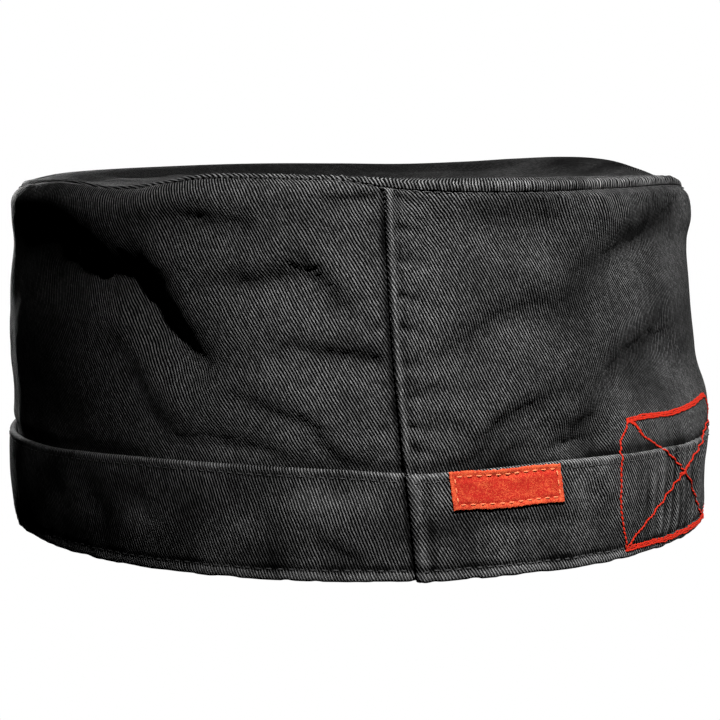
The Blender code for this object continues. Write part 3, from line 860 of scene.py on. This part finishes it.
def top_face(angle, q, sink=0.0):
    """The top's upper face, moved down by sink. Row number q goes from 0 to 1 over the ridge, to 2 over the
    rest of the rim, and to 3 across the sagging middle to its centre."""
    ridge, rest, way_in = (np.clip(q - k, 0, 1) for k in range(3))
    start = rim_value(angle, "ridge")
    along = start + 2 * RIDGE_HALF * ridge
    quarter = rim_value(angle, "roll") * np.pi / 2
    inner_end = np.maximum(quarter + PAST_ROLL, start + 2 * RIDGE_HALF + PAST_RIDGE)
    along = along + rest * (inner_end - start - 2 * RIDGE_HALF)
    x_round = wrapped(angle) * ARC
    shown = ridge_shown(angle)
    height = RIDGE_HEIGHT * (1 + 0.35 * shown * soft_noise(x_round, x_round * 0, 3 * MM, 33))
    hump = np.sin(np.pi * ridge) ** 1.2 * height * (1 - NOTCH_DEPTH * ridge_notches(angle, ridge))
    rough = RIDGE_ROUGH * shown * soft_noise(x_round, along, 1.5 * MM, 34) * np.sin(np.pi * ridge)
    out = RIDGE_SEAT + hump + rough - sink
    points = roll_place(angle, along, out)
    past_ridge = inner_end - along
    centre = np.array((0.0, 0.0, CROWN_HEIGHT + FRONT_LIFT / 2))
    fade = (1 - way_in)[..., None] * np.ones(3)
    fade[..., 2] = (1 - way_in) ** 2
    points = centre + (points - centre) * fade
    points[..., 2] -= sink * (1 - fade[..., 2])
    dip = TOP_DIP * ease(way_in / DIP_SHARE) + (TOP_SAG - TOP_DIP) * ease(way_in)
    folded = top_relief(points[..., 0], points[..., 1]) * ease(way_in / FOLDED_FROM)
    points[..., 2] += (folded - dip) * (way_in > 0)
    outwards = roll_place(angle, inner_end + 0 * along, 0)[..., :2]
    turned = np.abs(past_ridge - np.max(past_ridge, axis=0) + RIDGE_HALF)
    flat_place = (outwards + unit(outwards) * turned[..., None]) * (1 - way_in)[..., None]
    return points, flat_place


# %% The top as a shell
def make_top():
    """The whole top as a shell that closes on itself round the cap, and in a point at the middle."""
    angle = np.linspace(-FRONT, FRONT, TOP_COLUMNS, endpoint=False)
    q, angle = np.broadcast_arrays(rows_of(TOP_STEPS)[:, None], angle[None, :])
    outer, uv = top_face(angle, q)
    inner, _ = top_face(angle, q, sink=TOP_CLOTH)
    # The ridge is paler along its crown and mottled. Painted shade darkens both feet of the ridge, the
    # notches where the stitches draw it in, the far right of the top round 112 degrees, and a little of the
    # whole sagging middle.
    wear = wear_and_painted_shade(
        (0.45, hill(q, 0.5, 0.35)),
        (-0.3, hill(q, 0.0, 0.06)),
        (-0.3, hill(q, 1.0, 0.08)),
        (-1.0, ridge_notches(angle, np.clip(q, 0, 1))),
        (0.30, soft_noise(wrapped(angle) * ARC, q * 3 * MM, 3 * MM, 35) * (q < 1)),
        (-0.8, hill(angle, 112, 18) * between(q, 0.4, 0.4, 2.35, 0.35)),
        (-0.15, ease((q - 1) / 0.5)),
    )
    return outer, inner, uv, wear


# %% Make the top
top = shell("crown_top_cloth", *make_top(), flip=True, disc=True)
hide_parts("crown_top")

# %% [markdown]
# ## The peak
#
# The peak is a stiff board between two layers of twill, sewn round in rows that run beside its edge. Both
# its faces are one function here: a middle layer, plus or minus half the thickness, which closes in a half
# round at the edge, with a shallow groove where each row of stitches pulls the cloth in.

# %% The peak's two faces
PEAK_REACH = 62.0 * MM
PEAK_CLOTH = 3.4 * MM
PEAK_END_WIDTH = 2.4 * MM
PEAK_END_SLANT = 5.0 * MM
PEAK_HALF_ANGLE = 64.0
PEAK_SEAT = 2.4 * MM
PEAK_TIP_HEIGHT = 8.5 * MM
PEAK_FLOOR_GAP = 0.3 * MM
PEAK_ROUNDNESS = 0.85
PEAK_BLEND = 18.0 * MM
PEAK_COLUMNS = 260
PEAK_ROWS = 74
# How far from the edge each row of stitches runs, as a share of the reach from root to edge.
PEAK_STITCH_ROWS = (0.955, 0.84, 0.725, 0.61, 0.495)
PEAK_GROOVE = 0.32 * MM
PEAK_GROOVE_BREADTH = 0.014
PEAK_TURN_LENGTH = 40.0 * MM
PEAK_THINNEST = 0.05


def peak_middle(turn, reach):
    """The peak's middle layer. Turn runs from -1 to 1 across it and reach from its root on the band to its
    edge, which is half an oval. Its height blends from the band's level to a shallow arch."""
    angle = FRONT - PEAK_HALF_ANGLE * turn
    root = outline(angle, PEAK_SEAT + 0 * angle, -0.1 * MM, PEAK_SEAT + 0 * angle)
    side_angle = math.radians(PEAK_HALF_ANGLE)
    half_width = HALF_WIDTH * math.sin(side_angle) + PEAK_END_WIDTH
    first_y = HALF_LENGTH * math.cos(side_angle) + PEAK_END_SLANT
    quarter = np.pi / 2 * turn
    forward = np.maximum(np.cos(quarter), 0) ** PEAK_ROUNDNESS
    edge_x = half_width * np.sin(quarter)
    edge_y = first_y + (HALF_LENGTH + PEAK_REACH - first_y) * forward
    x = root[..., 0] + (edge_x - root[..., 0]) * reach
    y = root[..., 1] + (edge_y - root[..., 1]) * reach
    lowest = PEAK_CLOTH / 2 + PEAK_FLOOR_GAP
    arched = lowest + (PEAK_TIP_HEIGHT - lowest) * (1 - (x / half_width) ** 2)
    blend = ease(np.hypot(x - root[..., 0], y - root[..., 1]) / PEAK_BLEND)
    return np.stack((x, y, root[..., 2] + (arched - root[..., 2]) * blend), -1)


def peak_grooves(reach):
    """1 in the groove of each row of stitches, and 0 between them."""
    return sum(hill(reach, row, PEAK_GROOVE_BREADTH) for row in PEAK_STITCH_ROWS)


def peak_face(turn, reach, face):
    """The middle layer moved up or down by half the thickness, less a quarter round near each border."""
    points = peak_middle(turn, reach)
    to_edge = np.minimum((1 - reach) * PEAK_REACH, (1 - np.abs(turn)) * PEAK_TURN_LENGTH)
    half = PEAK_CLOTH / 2
    thick = half * (PEAK_THINNEST + (1 - PEAK_THINNEST) * round_off(to_edge / half))
    quilted = PEAK_GROOVE * peak_grooves(reach) + uneven("peak", points[..., 0], points[..., 1])
    points[..., 2] += face * (thick - quilted * np.clip(to_edge / half, 0, 1))
    return points


# %% Make the peak
def make_peak():
    """Both faces, with columns closer at the sides and rows closer at the edge. Where the edge is round,
    the flat weave goes on by the length of its arc."""
    steps = np.linspace(-1, 1, PEAK_COLUMNS)[None, :]
    turn = 0.6 * np.sin(np.pi / 2 * steps) + 0.4 * steps
    reach = 1 - (1 - np.linspace(0, 1, PEAK_ROWS)) ** 1.35
    turn, reach = np.broadcast_arrays(turn, reach[:, None])
    outer, inner = peak_face(turn, reach, 1), peak_face(turn, reach, -1)
    # The peak's edge is paler as wear, and painted shade darkens the stitched grooves.
    wear = wear_and_painted_shade((0.9, hill(reach, 1.0, 0.02)), (-0.3, peak_grooves(reach)))
    beyond = np.arcsin(1 - np.clip((1 - reach) * PEAK_REACH / (PEAK_CLOTH / 2), 0, 1))
    rounded = PEAK_CLOTH / 2 * (beyond - np.sin(beyond))
    outwards = unit(outer[-1:, :, :2] - outer[:1, :, :2])
    return outer, inner, outer[..., :2] + outwards * rounded[..., None], wear


peak = shell("peak_cloth", *make_peak(), flip=True)
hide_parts("peak")

# %% [markdown]
# ## Stitches
#
# A row of stitches is the same small shape some hundred times: a thread that comes up out of the cloth,
# lies on it and goes down again. Copies of one object along a curve would stay straight on the folded
# cloth. All stitches of a row are worked out at once here, each bent over the cloth under it.

# %% The cloth's face at any angle and height
def cloth_place(angle, height, out):
    """A point at a distance out from the face of the wall or of the band, whichever shows at a height."""
    side = "right"
    up = np.maximum(height, BAND_HEIGHT)
    inset = coming_out(angle, up - BAND_HEIGHT) - out - wall_relief(angle, up, side)
    from_wall = outline(angle, up, inset, height)
    low = np.minimum(height, BAND_HEIGHT)
    from_band = band_face(angle, low, side, sink=-out)
    return np.where((height > BAND_HEIGHT)[..., None], from_wall, from_band)


# %% Many stitches at once
STITCH_RINGS = 6
STITCH_SIDES = 6
STITCH_LIFT = 1.2
STITCH_END = 0.35
TWIST_SHIFT = 0.013


def stitches(name, place, first, last, radius, sink=0.3, flat=0.75):
    """Threads from each first to each last point, given in the two measures of place. A thread is a tube
    whose radius and height over the cloth follow a half ellipse, and sink is how deep its ends go in."""
    s = np.linspace(0, 1, STITCH_RINGS)[None, :]
    arch = round_off(1 - np.abs(2 * s - 1))
    a = first[:, :1] + (last[:, :1] - first[:, :1]) * s
    b = first[:, 1:] + (last[:, 1:] - first[:, 1:]) * s
    lift = radius * (flat * arch - sink * (1 - arch)) * STITCH_LIFT
    centre = place(a, b, lift)
    up = unit(place(a, b, lift + 0.3 * MM) - centre)
    tangent = unit(np.gradient(centre, axis=1))
    across = unit(np.cross(tangent, up))
    turn = 2 * np.pi * np.arange(STITCH_SIDES) / STITCH_SIDES
    thick = (radius * (STITCH_END + (1 - STITCH_END) * arch))[..., None, None]
    ring = np.cos(turn)[:, None] * across[:, :, None, :] + flat * np.sin(turn)[:, None] * up[:, :, None, :]
    points = (centre[:, :, None, :] + thick * ring).reshape(-1, 3)

    count = len(first)
    tube = grid_faces(STITCH_RINGS, STITCH_SIDES, 0, True, True)
    end = (STITCH_RINGS - 1) * STITCH_SIDES
    cap = np.array(((0, 1, 2, 3), (0, 3, 4, 5)))
    one = np.concatenate((tube, cap, end + cap[:, ::-1]))
    per_stitch = STITCH_RINGS * STITCH_SIDES
    faces = (one[None] + per_stitch * np.arange(count)[:, None, None]).reshape(-1, 4)
    length = np.linalg.norm(centre[:, -1] - centre[:, 0], axis=-1)
    along = (s * length[:, None])[..., None] + 0 * turn + TWIST_SHIFT * np.arange(count)[:, None, None]
    around = radius * turn + 0 * along
    uv = np.stack((along, around), -1).reshape(-1, 2)
    piece = make_piece(name, points, faces, uv)
    print(f"{name}: {count} stitches, {2 * len(faces)} triangles")
    return piece


# %% Rows of stitches
def row_of_stitches(start, end, step, share, seed=0, waver=0.0, scale=(ARC, 1)):
    """First and last measures of the stitches on a straight row from start to end, both as (a, b). Step is
    a stitch and its gap as a length, and scale the length of one unit of a and of b. Share is the stitch's
    part of a step, and waver shifts its ends sideways."""
    start, end, scale = np.array(start, float), np.array(end, float), np.array(scale)
    span = (end - start) * scale
    count = max(1, round(np.hypot(*span) / step))
    t = (np.arange(count)[:, None] + np.array((0.5 - share / 2, 0.5 + share / 2))) / count
    ends = start + t[..., None] * (end - start)
    random = np.random.RandomState(seed)
    square = np.array((-span[1], span[0])) / np.hypot(*span)
    ends = ends + random.uniform(-waver, waver, (count, 2, 1)) * square / scale
    return ends[:, 0], ends[:, 1]


def joined(rows):
    """The first and the last measures of several rows, as two arrays."""
    return tuple(np.concatenate(ends) for ends in zip(*rows))


# %% Stitches in the cap's own black thread
RIM_ROW_BELOW = 0.45 * MM
PEAK_SEWN = 0.97
PEAK_HALF_ROOT = 70 * MM


def round_the_cap(height, step, share, seed):
    """A row at one height, from the back seam all the way round to it again."""
    seam = float(seam_angle(np.array(height)))
    return row_of_stitches((seam + 0.6, height), (seam + 359.2, height), step, share, seed, 0.05 * MM)


def band_place(angle, height, out):
    """A point out from the face, at an angle that may run on past the front."""
    return cloth_place(np.where(angle > FRONT, angle - 2 * FRONT, angle), height, out)


def rim_row(step, share, seed):
    """The row that holds the top down runs on the wall, just below the ridge."""
    first, last = row_of_stitches((-FRONT, 0.0), (FRONT, 0.0), step, share, seed, 0.06 * MM)
    for ends in (first, last):
        ends[:, 1] += rim_value(ends[:, 0], "ridge") - RIM_ROW_BELOW
    return first, last


def peak_place(turn, reach, out):
    """A point over the peak's upper face."""
    points = peak_face(turn, reach, 1)
    points[..., 2] += out
    return points


def peak_rows(step, share):
    """A row in each groove, from side to side of the peak."""
    rows = []
    for reach in PEAK_STITCH_ROWS:
        scale = ((PEAK_REACH * reach + PEAK_HALF_ROOT) / PEAK_SEWN, 1)
        rows.append(row_of_stitches((-PEAK_SEWN, reach), (PEAK_SEWN, reach), step, share, scale=scale))
    return joined(rows)


BLACK_ROWS = (
    ("stitches_band_edge", band_place, round_the_cap(TOPSTITCH_HEIGHT, 2.4 * MM, 0.60, 51), 0.17 * MM),
    ("stitches_hem", band_place, round_the_cap(HEM_STITCH_HEIGHT, 2.6 * MM, 0.56, 52), 0.20 * MM),
    ("stitches_rim", roll_place, rim_row(2.6 * MM, 0.50, 53), 0.16 * MM),
    ("stitches_peak", peak_place, peak_rows(2.6 * MM, 0.75), 0.22 * MM),
)
black_threads = []
for name, place, (first, last), radius in BLACK_ROWS:
    row = stitches(name, place, first, last, radius)
    black_threads.append(row)

# %% [markdown]
# ## The red box with its cross
#
# A box with a cross in it is sewn over the band's edge in red thread, by a machine that went over some
# lines twice and swayed a little. Each line is a row of corners in a table. Lines sewn twice get two rows
# side by side, with threads that touch.

# %% The box's lines
TOP_LEFT, TOP_RIGHT = (37.3, 32.5), (68.5, 33.9)
LOW_LEFT, LOW_RIGHT = (36.1, 2.4), (66.0, 1.7)
CROSSING = (52.7, 17.5)
# Each line: how many rows lie side by side, and its corners as angle and height in mm.
BOX_LINES = (
    (3, (TOP_LEFT, (41.3, 32.9), (48.8, 32.6), (55.0, 32.8), TOP_RIGHT)),
    (3, (LOW_LEFT, (41.8, 2.4), (48.5, 2.0), (56.0, 2.0), LOW_RIGHT, (71.0, 1.8))),
    (1, (TOP_LEFT, (36.6, 30.4), (35.3, 27.6), (34.5, 21.5), (34.6, 14.4), (35.3, 8.0), LOW_LEFT)),
    (1, (TOP_RIGHT, (70.5, 27.2), (74.0, 21.5), (75.5, 14.0), (75.0, 7.0), (71.0, 1.8))),
    (2, (TOP_LEFT, (38.9, 31.6), (41.0, 27.9))),
    (1, ((41.0, 27.9), (44.8, 24.4), CROSSING)),
    (1, (CROSSING, (55.5, 14.8), (59.4, 9.0), (63.0, 4.4), LOW_RIGHT)),
    (1, (LOW_LEFT, (39.2, 6.3), (42.2, 9.2), (49.2, 15.4), CROSSING)),
    (1, (CROSSING, (55.3, 19.9), (61.4, 23.8), (70.5, 27.2))),
    (2, ((51.2, 16.9), CROSSING, (54.6, 19.0))),
)
RED_STEP = 1.25 * MM
RED_SHARE = 1.25
RED_RADIUS = 0.27 * MM
RED_ROW_APART = 0.42 * MM
RED_WAVER = 0.14 * MM
FIRST_RED_SEED = 61


def box_stitches():
    """Every stretch of the box's lines from corner to corner, as often as it was sewn."""
    rows = []
    for count, corners in BOX_LINES:
        for k in range(count):
            shift = (k - (count - 1) / 2) * RED_ROW_APART
            places = [(angle, height * MM + shift) for angle, height in corners]
            for start, end in neighbours(places):
                seed = FIRST_RED_SEED + len(rows)
                rows.append(row_of_stitches(start, end, RED_STEP, RED_SHARE, seed, RED_WAVER))
    return joined(rows)


red_box = stitches("stitches_red_box", cloth_place, *box_stitches(), RED_RADIUS)

# %% [markdown]
# ## The label
#
# The label is a strip of tightly woven red cloth, folded under at its ends and sewn down with a running
# stitch. It follows the band and stands off it at its edges, where the folded cloth is thickest.

# %% The label's cloth
LABEL_LEFT, LABEL_RIGHT = 6.0, 22.85
LABEL_LOW, LABEL_TOP = 15.9 * MM, 24.6 * MM
LABEL_LEAN = 0.72
LABEL_DROP = 0.45 * MM
LABEL_CLOTH = 0.45 * MM
LABEL_STAND = 0.30 * MM
LABEL_COLUMNS, LABEL_ROWS = 130, 44
LABEL_STITCH_INSET = 1.25 * MM
LABEL_EDGE = 0.35 * MM
LABEL_THINNEST = 0.15
# Its length and height when flat, for its weave and its edges.
LABEL_LENGTH, LABEL_HEIGHT = 29 * MM, 9 * MM


def to_label_edge(a, b):
    """The distance to the nearest edge of the label, for a across it and b up it, both from 0 to 1."""
    return np.minimum(np.minimum(a, 1 - a) * LABEL_LENGTH, np.minimum(b, 1 - b) * LABEL_HEIGHT)


def label_place(a, b, out):
    """A point on the label, at out over its middle layer. Its sides lean a little, its edges are frayed by
    a fine noise, and it lies on the band's face with its border curled up slightly."""
    flat = a * LABEL_LENGTH, b * LABEL_HEIGHT
    ragged = uneven("label_edge", *flat)
    angle = LABEL_LEFT + (LABEL_RIGHT - LABEL_LEFT) * a + LABEL_LEAN * (1 - b)
    sag = 0.12 * MM * np.sin(2 * np.pi * 1.5 * a + 0.6)
    height = LABEL_LOW + (LABEL_TOP - LABEL_LOW) * b + sag + ragged * np.abs(2 * b - 1) ** 6
    height = height - LABEL_DROP * a * b
    angle = angle + ragged / ARC * np.abs(2 * a - 1) ** 12
    to_edge = to_label_edge(a, b)
    pulled = 0.16 * MM * hill(to_edge, LABEL_STITCH_INSET, 0.4 * MM)
    smooth_band = outline(angle, height, -out - LABEL_STAND + pulled - uneven("label", *flat), height)
    folded = band_relief(angle, height, "right") + 0.06 * MM * np.exp(-to_edge / (0.8 * MM))
    middle = unit(smooth_band * (1, 1, 0))
    return smooth_band + middle * folded[..., None]


def label_face(a, b, face):
    """The upper or under face, which meet in a round edge."""
    rounded = round_off(to_label_edge(a, b) / LABEL_EDGE)
    return label_place(a, b, face * LABEL_CLOTH / 2 * (LABEL_THINNEST + (1 - LABEL_THINNEST) * rounded))


def closer_at_ends(count, share=0.5):
    """Numbers from 0 to 1 that lie closer together at both ends."""
    t = np.linspace(0, 1, count)
    return (1 - share) * t + share * ease(t)


def make_label():
    """Both faces and the flat weave. The label's wear and painted shade are 0 all over. The label is evenly
    worn.
    """
    a, b = np.meshgrid(closer_at_ends(LABEL_COLUMNS), closer_at_ends(LABEL_ROWS))
    outer, inner = label_face(a, b, 1), label_face(a, b, -1)
    uv = np.stack((a * LABEL_LENGTH, b * LABEL_HEIGHT), -1)
    return outer, inner, uv, 0 * a


label = shell("label_cloth", *make_label())
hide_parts("label")


# %% The label's running stitch
def label_stitches(step=2.35 * MM, share=0.62):
    """A row beside each edge of the label."""
    scale = (LABEL_LENGTH, LABEL_HEIGHT)
    left, low = LABEL_STITCH_INSET / LABEL_LENGTH, LABEL_STITCH_INSET / LABEL_HEIGHT
    corners = ((left, 1 - low), (1 - left, 1 - low), (1 - left, low), (left, low), (left, 1 - low))
    return joined(row_of_stitches(*ends, step, share, scale=scale) for ends in neighbours(corners))


def label_top(a, b, out):
    """A point over the label's upper face."""
    return label_place(a, b, LABEL_CLOTH / 2 + out)


peach_thread = stitches("stitches_label", label_top, *label_stitches(), 0.19 * MM)

# %% [markdown]
# ## Finishes
#
# Washed black twill is not grey all over: each rib of the weave is faded along its crown and still black in
# the groove beside it. So the weave is drawn with its ribs, and each float of yarn gets its own luck in the
# wash. The maths of the pattern is written as Python expressions, by a class that turns + and * into nodes.

# %% Shader maths as expressions
class Wire:
    """One output of a material's nodes. Arithmetic on it adds a Math node."""

    def __init__(self, finish, socket):
        self.finish, self.socket = finish, socket

    def maths(self, operation, *values):
        return self.finish.node("ShaderNodeMath", {"operation": operation}, dict(enumerate(values)))

    def __add__(self, other):
        return self.maths("ADD", self, other)

    def __sub__(self, other):
        return self.maths("SUBTRACT", self, other)

    def __rsub__(self, other):
        return self.maths("SUBTRACT", other, self)

    def __mul__(self, other):
        return self.maths("MULTIPLY", self, other)

    def __truediv__(self, other):
        return self.maths("DIVIDE", self, other)

    def __pow__(self, other):
        return self.maths("POWER", self, other)

    __radd__, __rmul__ = __add__, __mul__

    def floor(self):
        return self.maths("FLOOR", self)

    def at_least(self, other):
        return self.maths("MAXIMUM", self, other)

    def at_most(self, *others):
        for other in others:
            self = self.maths("MINIMUM", self, other)
        return self

    def held(self):
        """Held between 0 and 1."""
        return self.at_least(0.0).at_most(1.0)

    def ripple(self):
        """Goes from 0 to 1 and back once as this grows by 1."""
        return 0.5 - 0.5 * self.maths("COSINE", self * (2 * math.pi))


# %% A material that is built call by call
class Finish:
    """A material whose nodes are added one call at a time, and whose constants go on its surface."""

    def __init__(self, name, constants):
        self.material = bpy.data.materials.new(name)
        self.material.use_nodes = True
        self.nodes = self.material.node_tree.nodes
        self.surface = self.nodes["Principled BSDF"]
        for socket, value in constants.items():
            self.surface.inputs[socket].default_value = value

    def node(self, kind, settings, values, output=0):
        node = self.nodes.new(kind)
        for setting, value in settings.items():
            setattr(node, setting, value)
        for socket, value in values.items():
            self.put(node.inputs[socket], value)
        return Wire(self, node.outputs[output])

    def put(self, socket, value):
        if isinstance(value, Wire):
            self.material.node_tree.links.new(value.socket, socket)
        else:
            socket.default_value = value

    def base_colour(self, colour):
        self.put(self.surface.inputs["Base Color"], colour)

    def noise(self, where, scale, detail=2.0):
        return self.node("ShaderNodeTexNoise", {}, {"Vector": where, "Scale": scale, "Detail": detail})

    def mix(self, share, first, second):
        """A colour that goes from first to second as share goes from 0 to 1."""
        return self.node("ShaderNodeMix", {"data_type": "RGBA"}, {0: share, 6: first, 7: second}, 2)

    def cloth_map(self):
        """The piece's own UV map, as a vector and as its two measures in metres."""
        where = self.node("ShaderNodeUVMap", {"uv_map": "cloth"}, {})
        parts = [self.node("ShaderNodeSeparateXYZ", {}, {0: where}, k) for k in range(2)]
        return where, *parts

    def luck(self, a, b):
        """A random number from 0 to 1 for each whole pair of a and b."""
        pair = self.node("ShaderNodeCombineXYZ", {}, {0: a, 1: b})
        return self.node("ShaderNodeTexWhiteNoise", {"noise_dimensions": "2D"}, {"Vector": pair})

    def bump(self, height, distance, strength):
        values = {"Height": height, "Distance": distance, "Strength": strength}
        self.put(self.surface.inputs["Normal"], self.node("ShaderNodeBump", {}, values))

    def wear(self, *pieces):
        for piece in pieces:
            piece.data.materials.clear()
            piece.data.materials.append(self.material)


def grey(value, warmth=0.0):
    return (value * (1 + warmth), value, value * (1 - warmth), 1.0)


# %% Washed black twill
RIB = 0.67 * MM
FLOAT = 0.95 * MM
TWILL_ANGLE = math.radians(61)
FIBRE_SCALE = 2600.0


def twill_finish():
    """Slanting ribs made of short floats of yarn: pale crowns over black grooves, paler with wear and
    darker with painted shade.
    """
    finish = Finish("washed_black_twill", {"Roughness": 0.9, "Specular IOR Level": 0.03})
    where, u, v = finish.cloth_map()
    blotch = finish.noise(where, 55.0, 3.0)
    sway = finish.noise(where, 160.0, 2.0)
    # The wear attribute carries painted shade as well as wear.
    wear_and_shade = finish.node("ShaderNodeAttribute", {"attribute_name": "wear"}, {}, 2)
    across = (u * math.sin(TWILL_ANGLE) + v * math.cos(TWILL_ANGLE)) / RIB + sway * 1.1
    along = (u * math.cos(TWILL_ANGLE) - v * math.sin(TWILL_ANGLE)) / FLOAT
    rib = across.floor()
    shifted = along + rib * 0.43
    luck = finish.luck(rib, shifted.floor())
    crown, bead = across.ripple(), shifted.ripple()
    thread = crown**4.0 * (0.80 + 0.20 * bead) * (0.60 + 0.8 * luck)
    fibre = finish.noise(where, FIBRE_SCALE, 1.0)
    fade_and_shade = (0.55 + 0.9 * (blotch - 0.5) + 0.45 * wear_and_shade).at_least(0.03)
    fuzz = (wear_and_shade - 0.25).held() * (fibre - 0.15) * 0.30
    light = (thread * fade_and_shade + fuzz).held()
    finish.base_colour(finish.mix(light, grey(0.0003), grey(0.24, 0.003)))
    finish.bump(crown * (0.7 + 0.3 * bead), 0.16 * MM, 0.6)
    return finish


twill = twill_finish()
for side in ("left", "right"):
    twill.wear(cloths["crown_wall_" + side], cloths["band_cloth_" + side])
twill.wear(top, peak)


# %% Threads and the label's cloth
MATT = {"Roughness": 0.8, "Specular IOR Level": 0.1}
THREAD_PLY = 0.42 * MM
THREAD_ROUND = 0.9 * MM


def thread_finish(name, colour, ply_sheen):
    """A twisted thread: slanted stripes round it, from its colour to a lighter one, a painted sheen along
    the twist.
    """
    finish = Finish(name, MATT)
    where, along, around = finish.cloth_map()
    ply = (along / THREAD_PLY + around / THREAD_ROUND).ripple()
    speck = finish.noise(where, 1400.0, 1.0)
    share = (0.25 + 0.9 * (speck - 0.3) * ply).held()
    # The lighter colour paints a sheen on each ply's crown.
    finish.base_colour(finish.mix(share, colour, ply_sheen))
    finish.bump(ply, 0.05 * MM, 0.5)
    return finish


thread_finish("black_thread", grey(0.008), grey(0.10)).wear(*black_threads)
thread_finish("red_thread", (0.28, 0.006, 0.003, 1), (0.53, 0.030, 0.007, 1)).wear(red_box)
thread_finish("peach_thread", (0.66, 0.11, 0.045, 1), (0.85, 0.30, 0.14, 1)).wear(peach_thread)

LABEL_YARN = 0.30 * MM


def label_finish():
    """Plain weave in red: yarns cross each other, the border is a lighter orange than the middle."""
    finish = Finish("red_label_cloth", MATT)
    where, u, v = finish.cloth_map()
    warp, weft = u / LABEL_YARN, v / (LABEL_YARN * 0.8)
    luck = finish.luck(warp.floor(), weft.floor())
    yarn = warp.ripple() * (0.4 + 0.6 * weft.ripple())
    left, low = u / LABEL_STITCH_INSET, v / LABEL_STITCH_INSET
    right, high = (LABEL_LENGTH - u) / LABEL_STITCH_INSET, (LABEL_HEIGHT - v) / LABEL_STITCH_INSET
    nearest = left.at_most(low, right, high)
    border = 1 - ((nearest - 0.9) * 5.0).held()
    patch = finish.noise(where, 260.0, 2.0)
    share = (0.15 + 0.40 * border + 1.3 * (patch - 0.5) + 0.8 * (luck - 0.5)).held()
    red = finish.mix(share, (0.44, 0.018, 0.010, 1), (0.80, 0.145, 0.050, 1))
    finish.base_colour(finish.mix((0.35 + 0.9 * yarn).held(), (0.12, 0.004, 0.003, 1), red))
    finish.bump(yarn, 0.06 * MM, 0.5)
    return finish


label_finish().wear(label)

# %% [markdown]
# ## Light, floor and camera
#
# A lamp with a soft-edged beam stands behind the camera, high enough to shade each fold's underside. Its
# beam ends on the cap's left, which falls into black, as in the photo. A broad soft lamp lights the right
# side, a weak one overhead lights the top, and one from beyond picks out the outermost left edge. The floor
# and the sky are plain white and light nothing, so no line shows where they meet.

# %% Lights
BEAM_LAMP_RADIUS = 0.02


def light(name, kind, aim, angle, elevation, distance, size, power):
    """A lamp at an angle round the cap and an elevation over the point it is turned to. The size is the
    side of a square lamp, or for a beam the reach of its soft edge at that point."""
    t, e = math.radians(angle), math.radians(elevation)
    direction = np.array((math.sin(t) * math.cos(e), -math.cos(t) * math.cos(e), math.sin(e)))
    lamp = bpy.data.lights.new(name, kind)
    lamp.energy = power
    if kind == "SPOT":
        lamp.spot_size = 2 * math.atan(size / distance)
        lamp.spot_blend = 1.0
        lamp.shadow_soft_size = BEAM_LAMP_RADIUS
    else:
        lamp.size = size
    holder = bpy.data.objects.new(name, lamp)
    bpy.context.scene.collection.objects.link(holder)
    holder.location = np.array(aim) + distance * direction
    holder.rotation_euler = (math.pi / 2 - e, 0, t)


MIDDLE = (0.0, 0.0, 0.045)
BEAM_AIM = (0.041, -0.085, 0.085)
# Each lamp: name, kind, aim, angle and elevation in degrees, distance and size in metres, power in watts.
LAMPS = (
    ("key_beam", "SPOT", BEAM_AIM, 3, 47, 0.90, 0.116, 112.0),
    ("right_side", "AREA", MIDDLE, 106, 10, 0.95, 0.35, 4.0),
    ("far_left", "AREA", MIDDLE, -164, 8, 1.10, 0.20, 21.0),
    ("overhead", "AREA", MIDDLE, -135, 80, 0.90, 0.35, 3.4),
)
for lamp in LAMPS:
    light(*lamp)

# %% Floor and sky
scene = bpy.context.scene
sky = bpy.data.worlds.new("white_studio")
sky.use_nodes = True
sky.node_tree.nodes["Background"].inputs["Color"].default_value = (1, 1, 1, 1)
sky.cycles_visibility.diffuse = False
sky.cycles_visibility.glossy = False
scene.world = sky
scene.view_settings.view_transform = "Standard"

FLOOR_HALF = 3.0
floor_mesh = bpy.data.meshes.new("studio_floor")
corners = [(x * FLOOR_HALF, y * FLOOR_HALF, 0) for x, y in ((-1, -1), (1, -1), (1, 1), (-1, 1))]
floor_mesh.from_pydata(corners, [], [(0, 1, 2, 3)])
floor = bpy.data.objects.new("studio_floor", floor_mesh)
scene.collection.objects.link(floor)
floor.visible_diffuse = False
floor.visible_glossy = False
WHITE_ONLY = {
    "Base Color": grey(0.0), "Roughness": 1.0, "Specular IOR Level": 0.0,
    "Emission Color": grey(1.0), "Emission Strength": 1.0,
}
Finish("pale_floor", WHITE_ONLY).wear(floor)

# %% Camera
CAMERA_AT = (-0.0512, -0.4873, 0.0900)
CAMERA_TURN = math.radians(6.0)
CAMERA_DOWN = math.radians(5.8)
CAMERA_SHIFT = 1.6 / 720
camera_data = bpy.data.cameras.new("camera")
camera_data.lens = 89.0
camera_data.sensor_width = 36.0
camera_data.shift_x = CAMERA_SHIFT
camera_data.clip_start = 0.01
camera = bpy.data.objects.new("camera", camera_data)
camera.location = CAMERA_AT
camera.rotation_euler = (math.pi / 2 - CAMERA_DOWN, 0, -CAMERA_TURN)
scene.collection.objects.link(camera)
scene.camera = camera
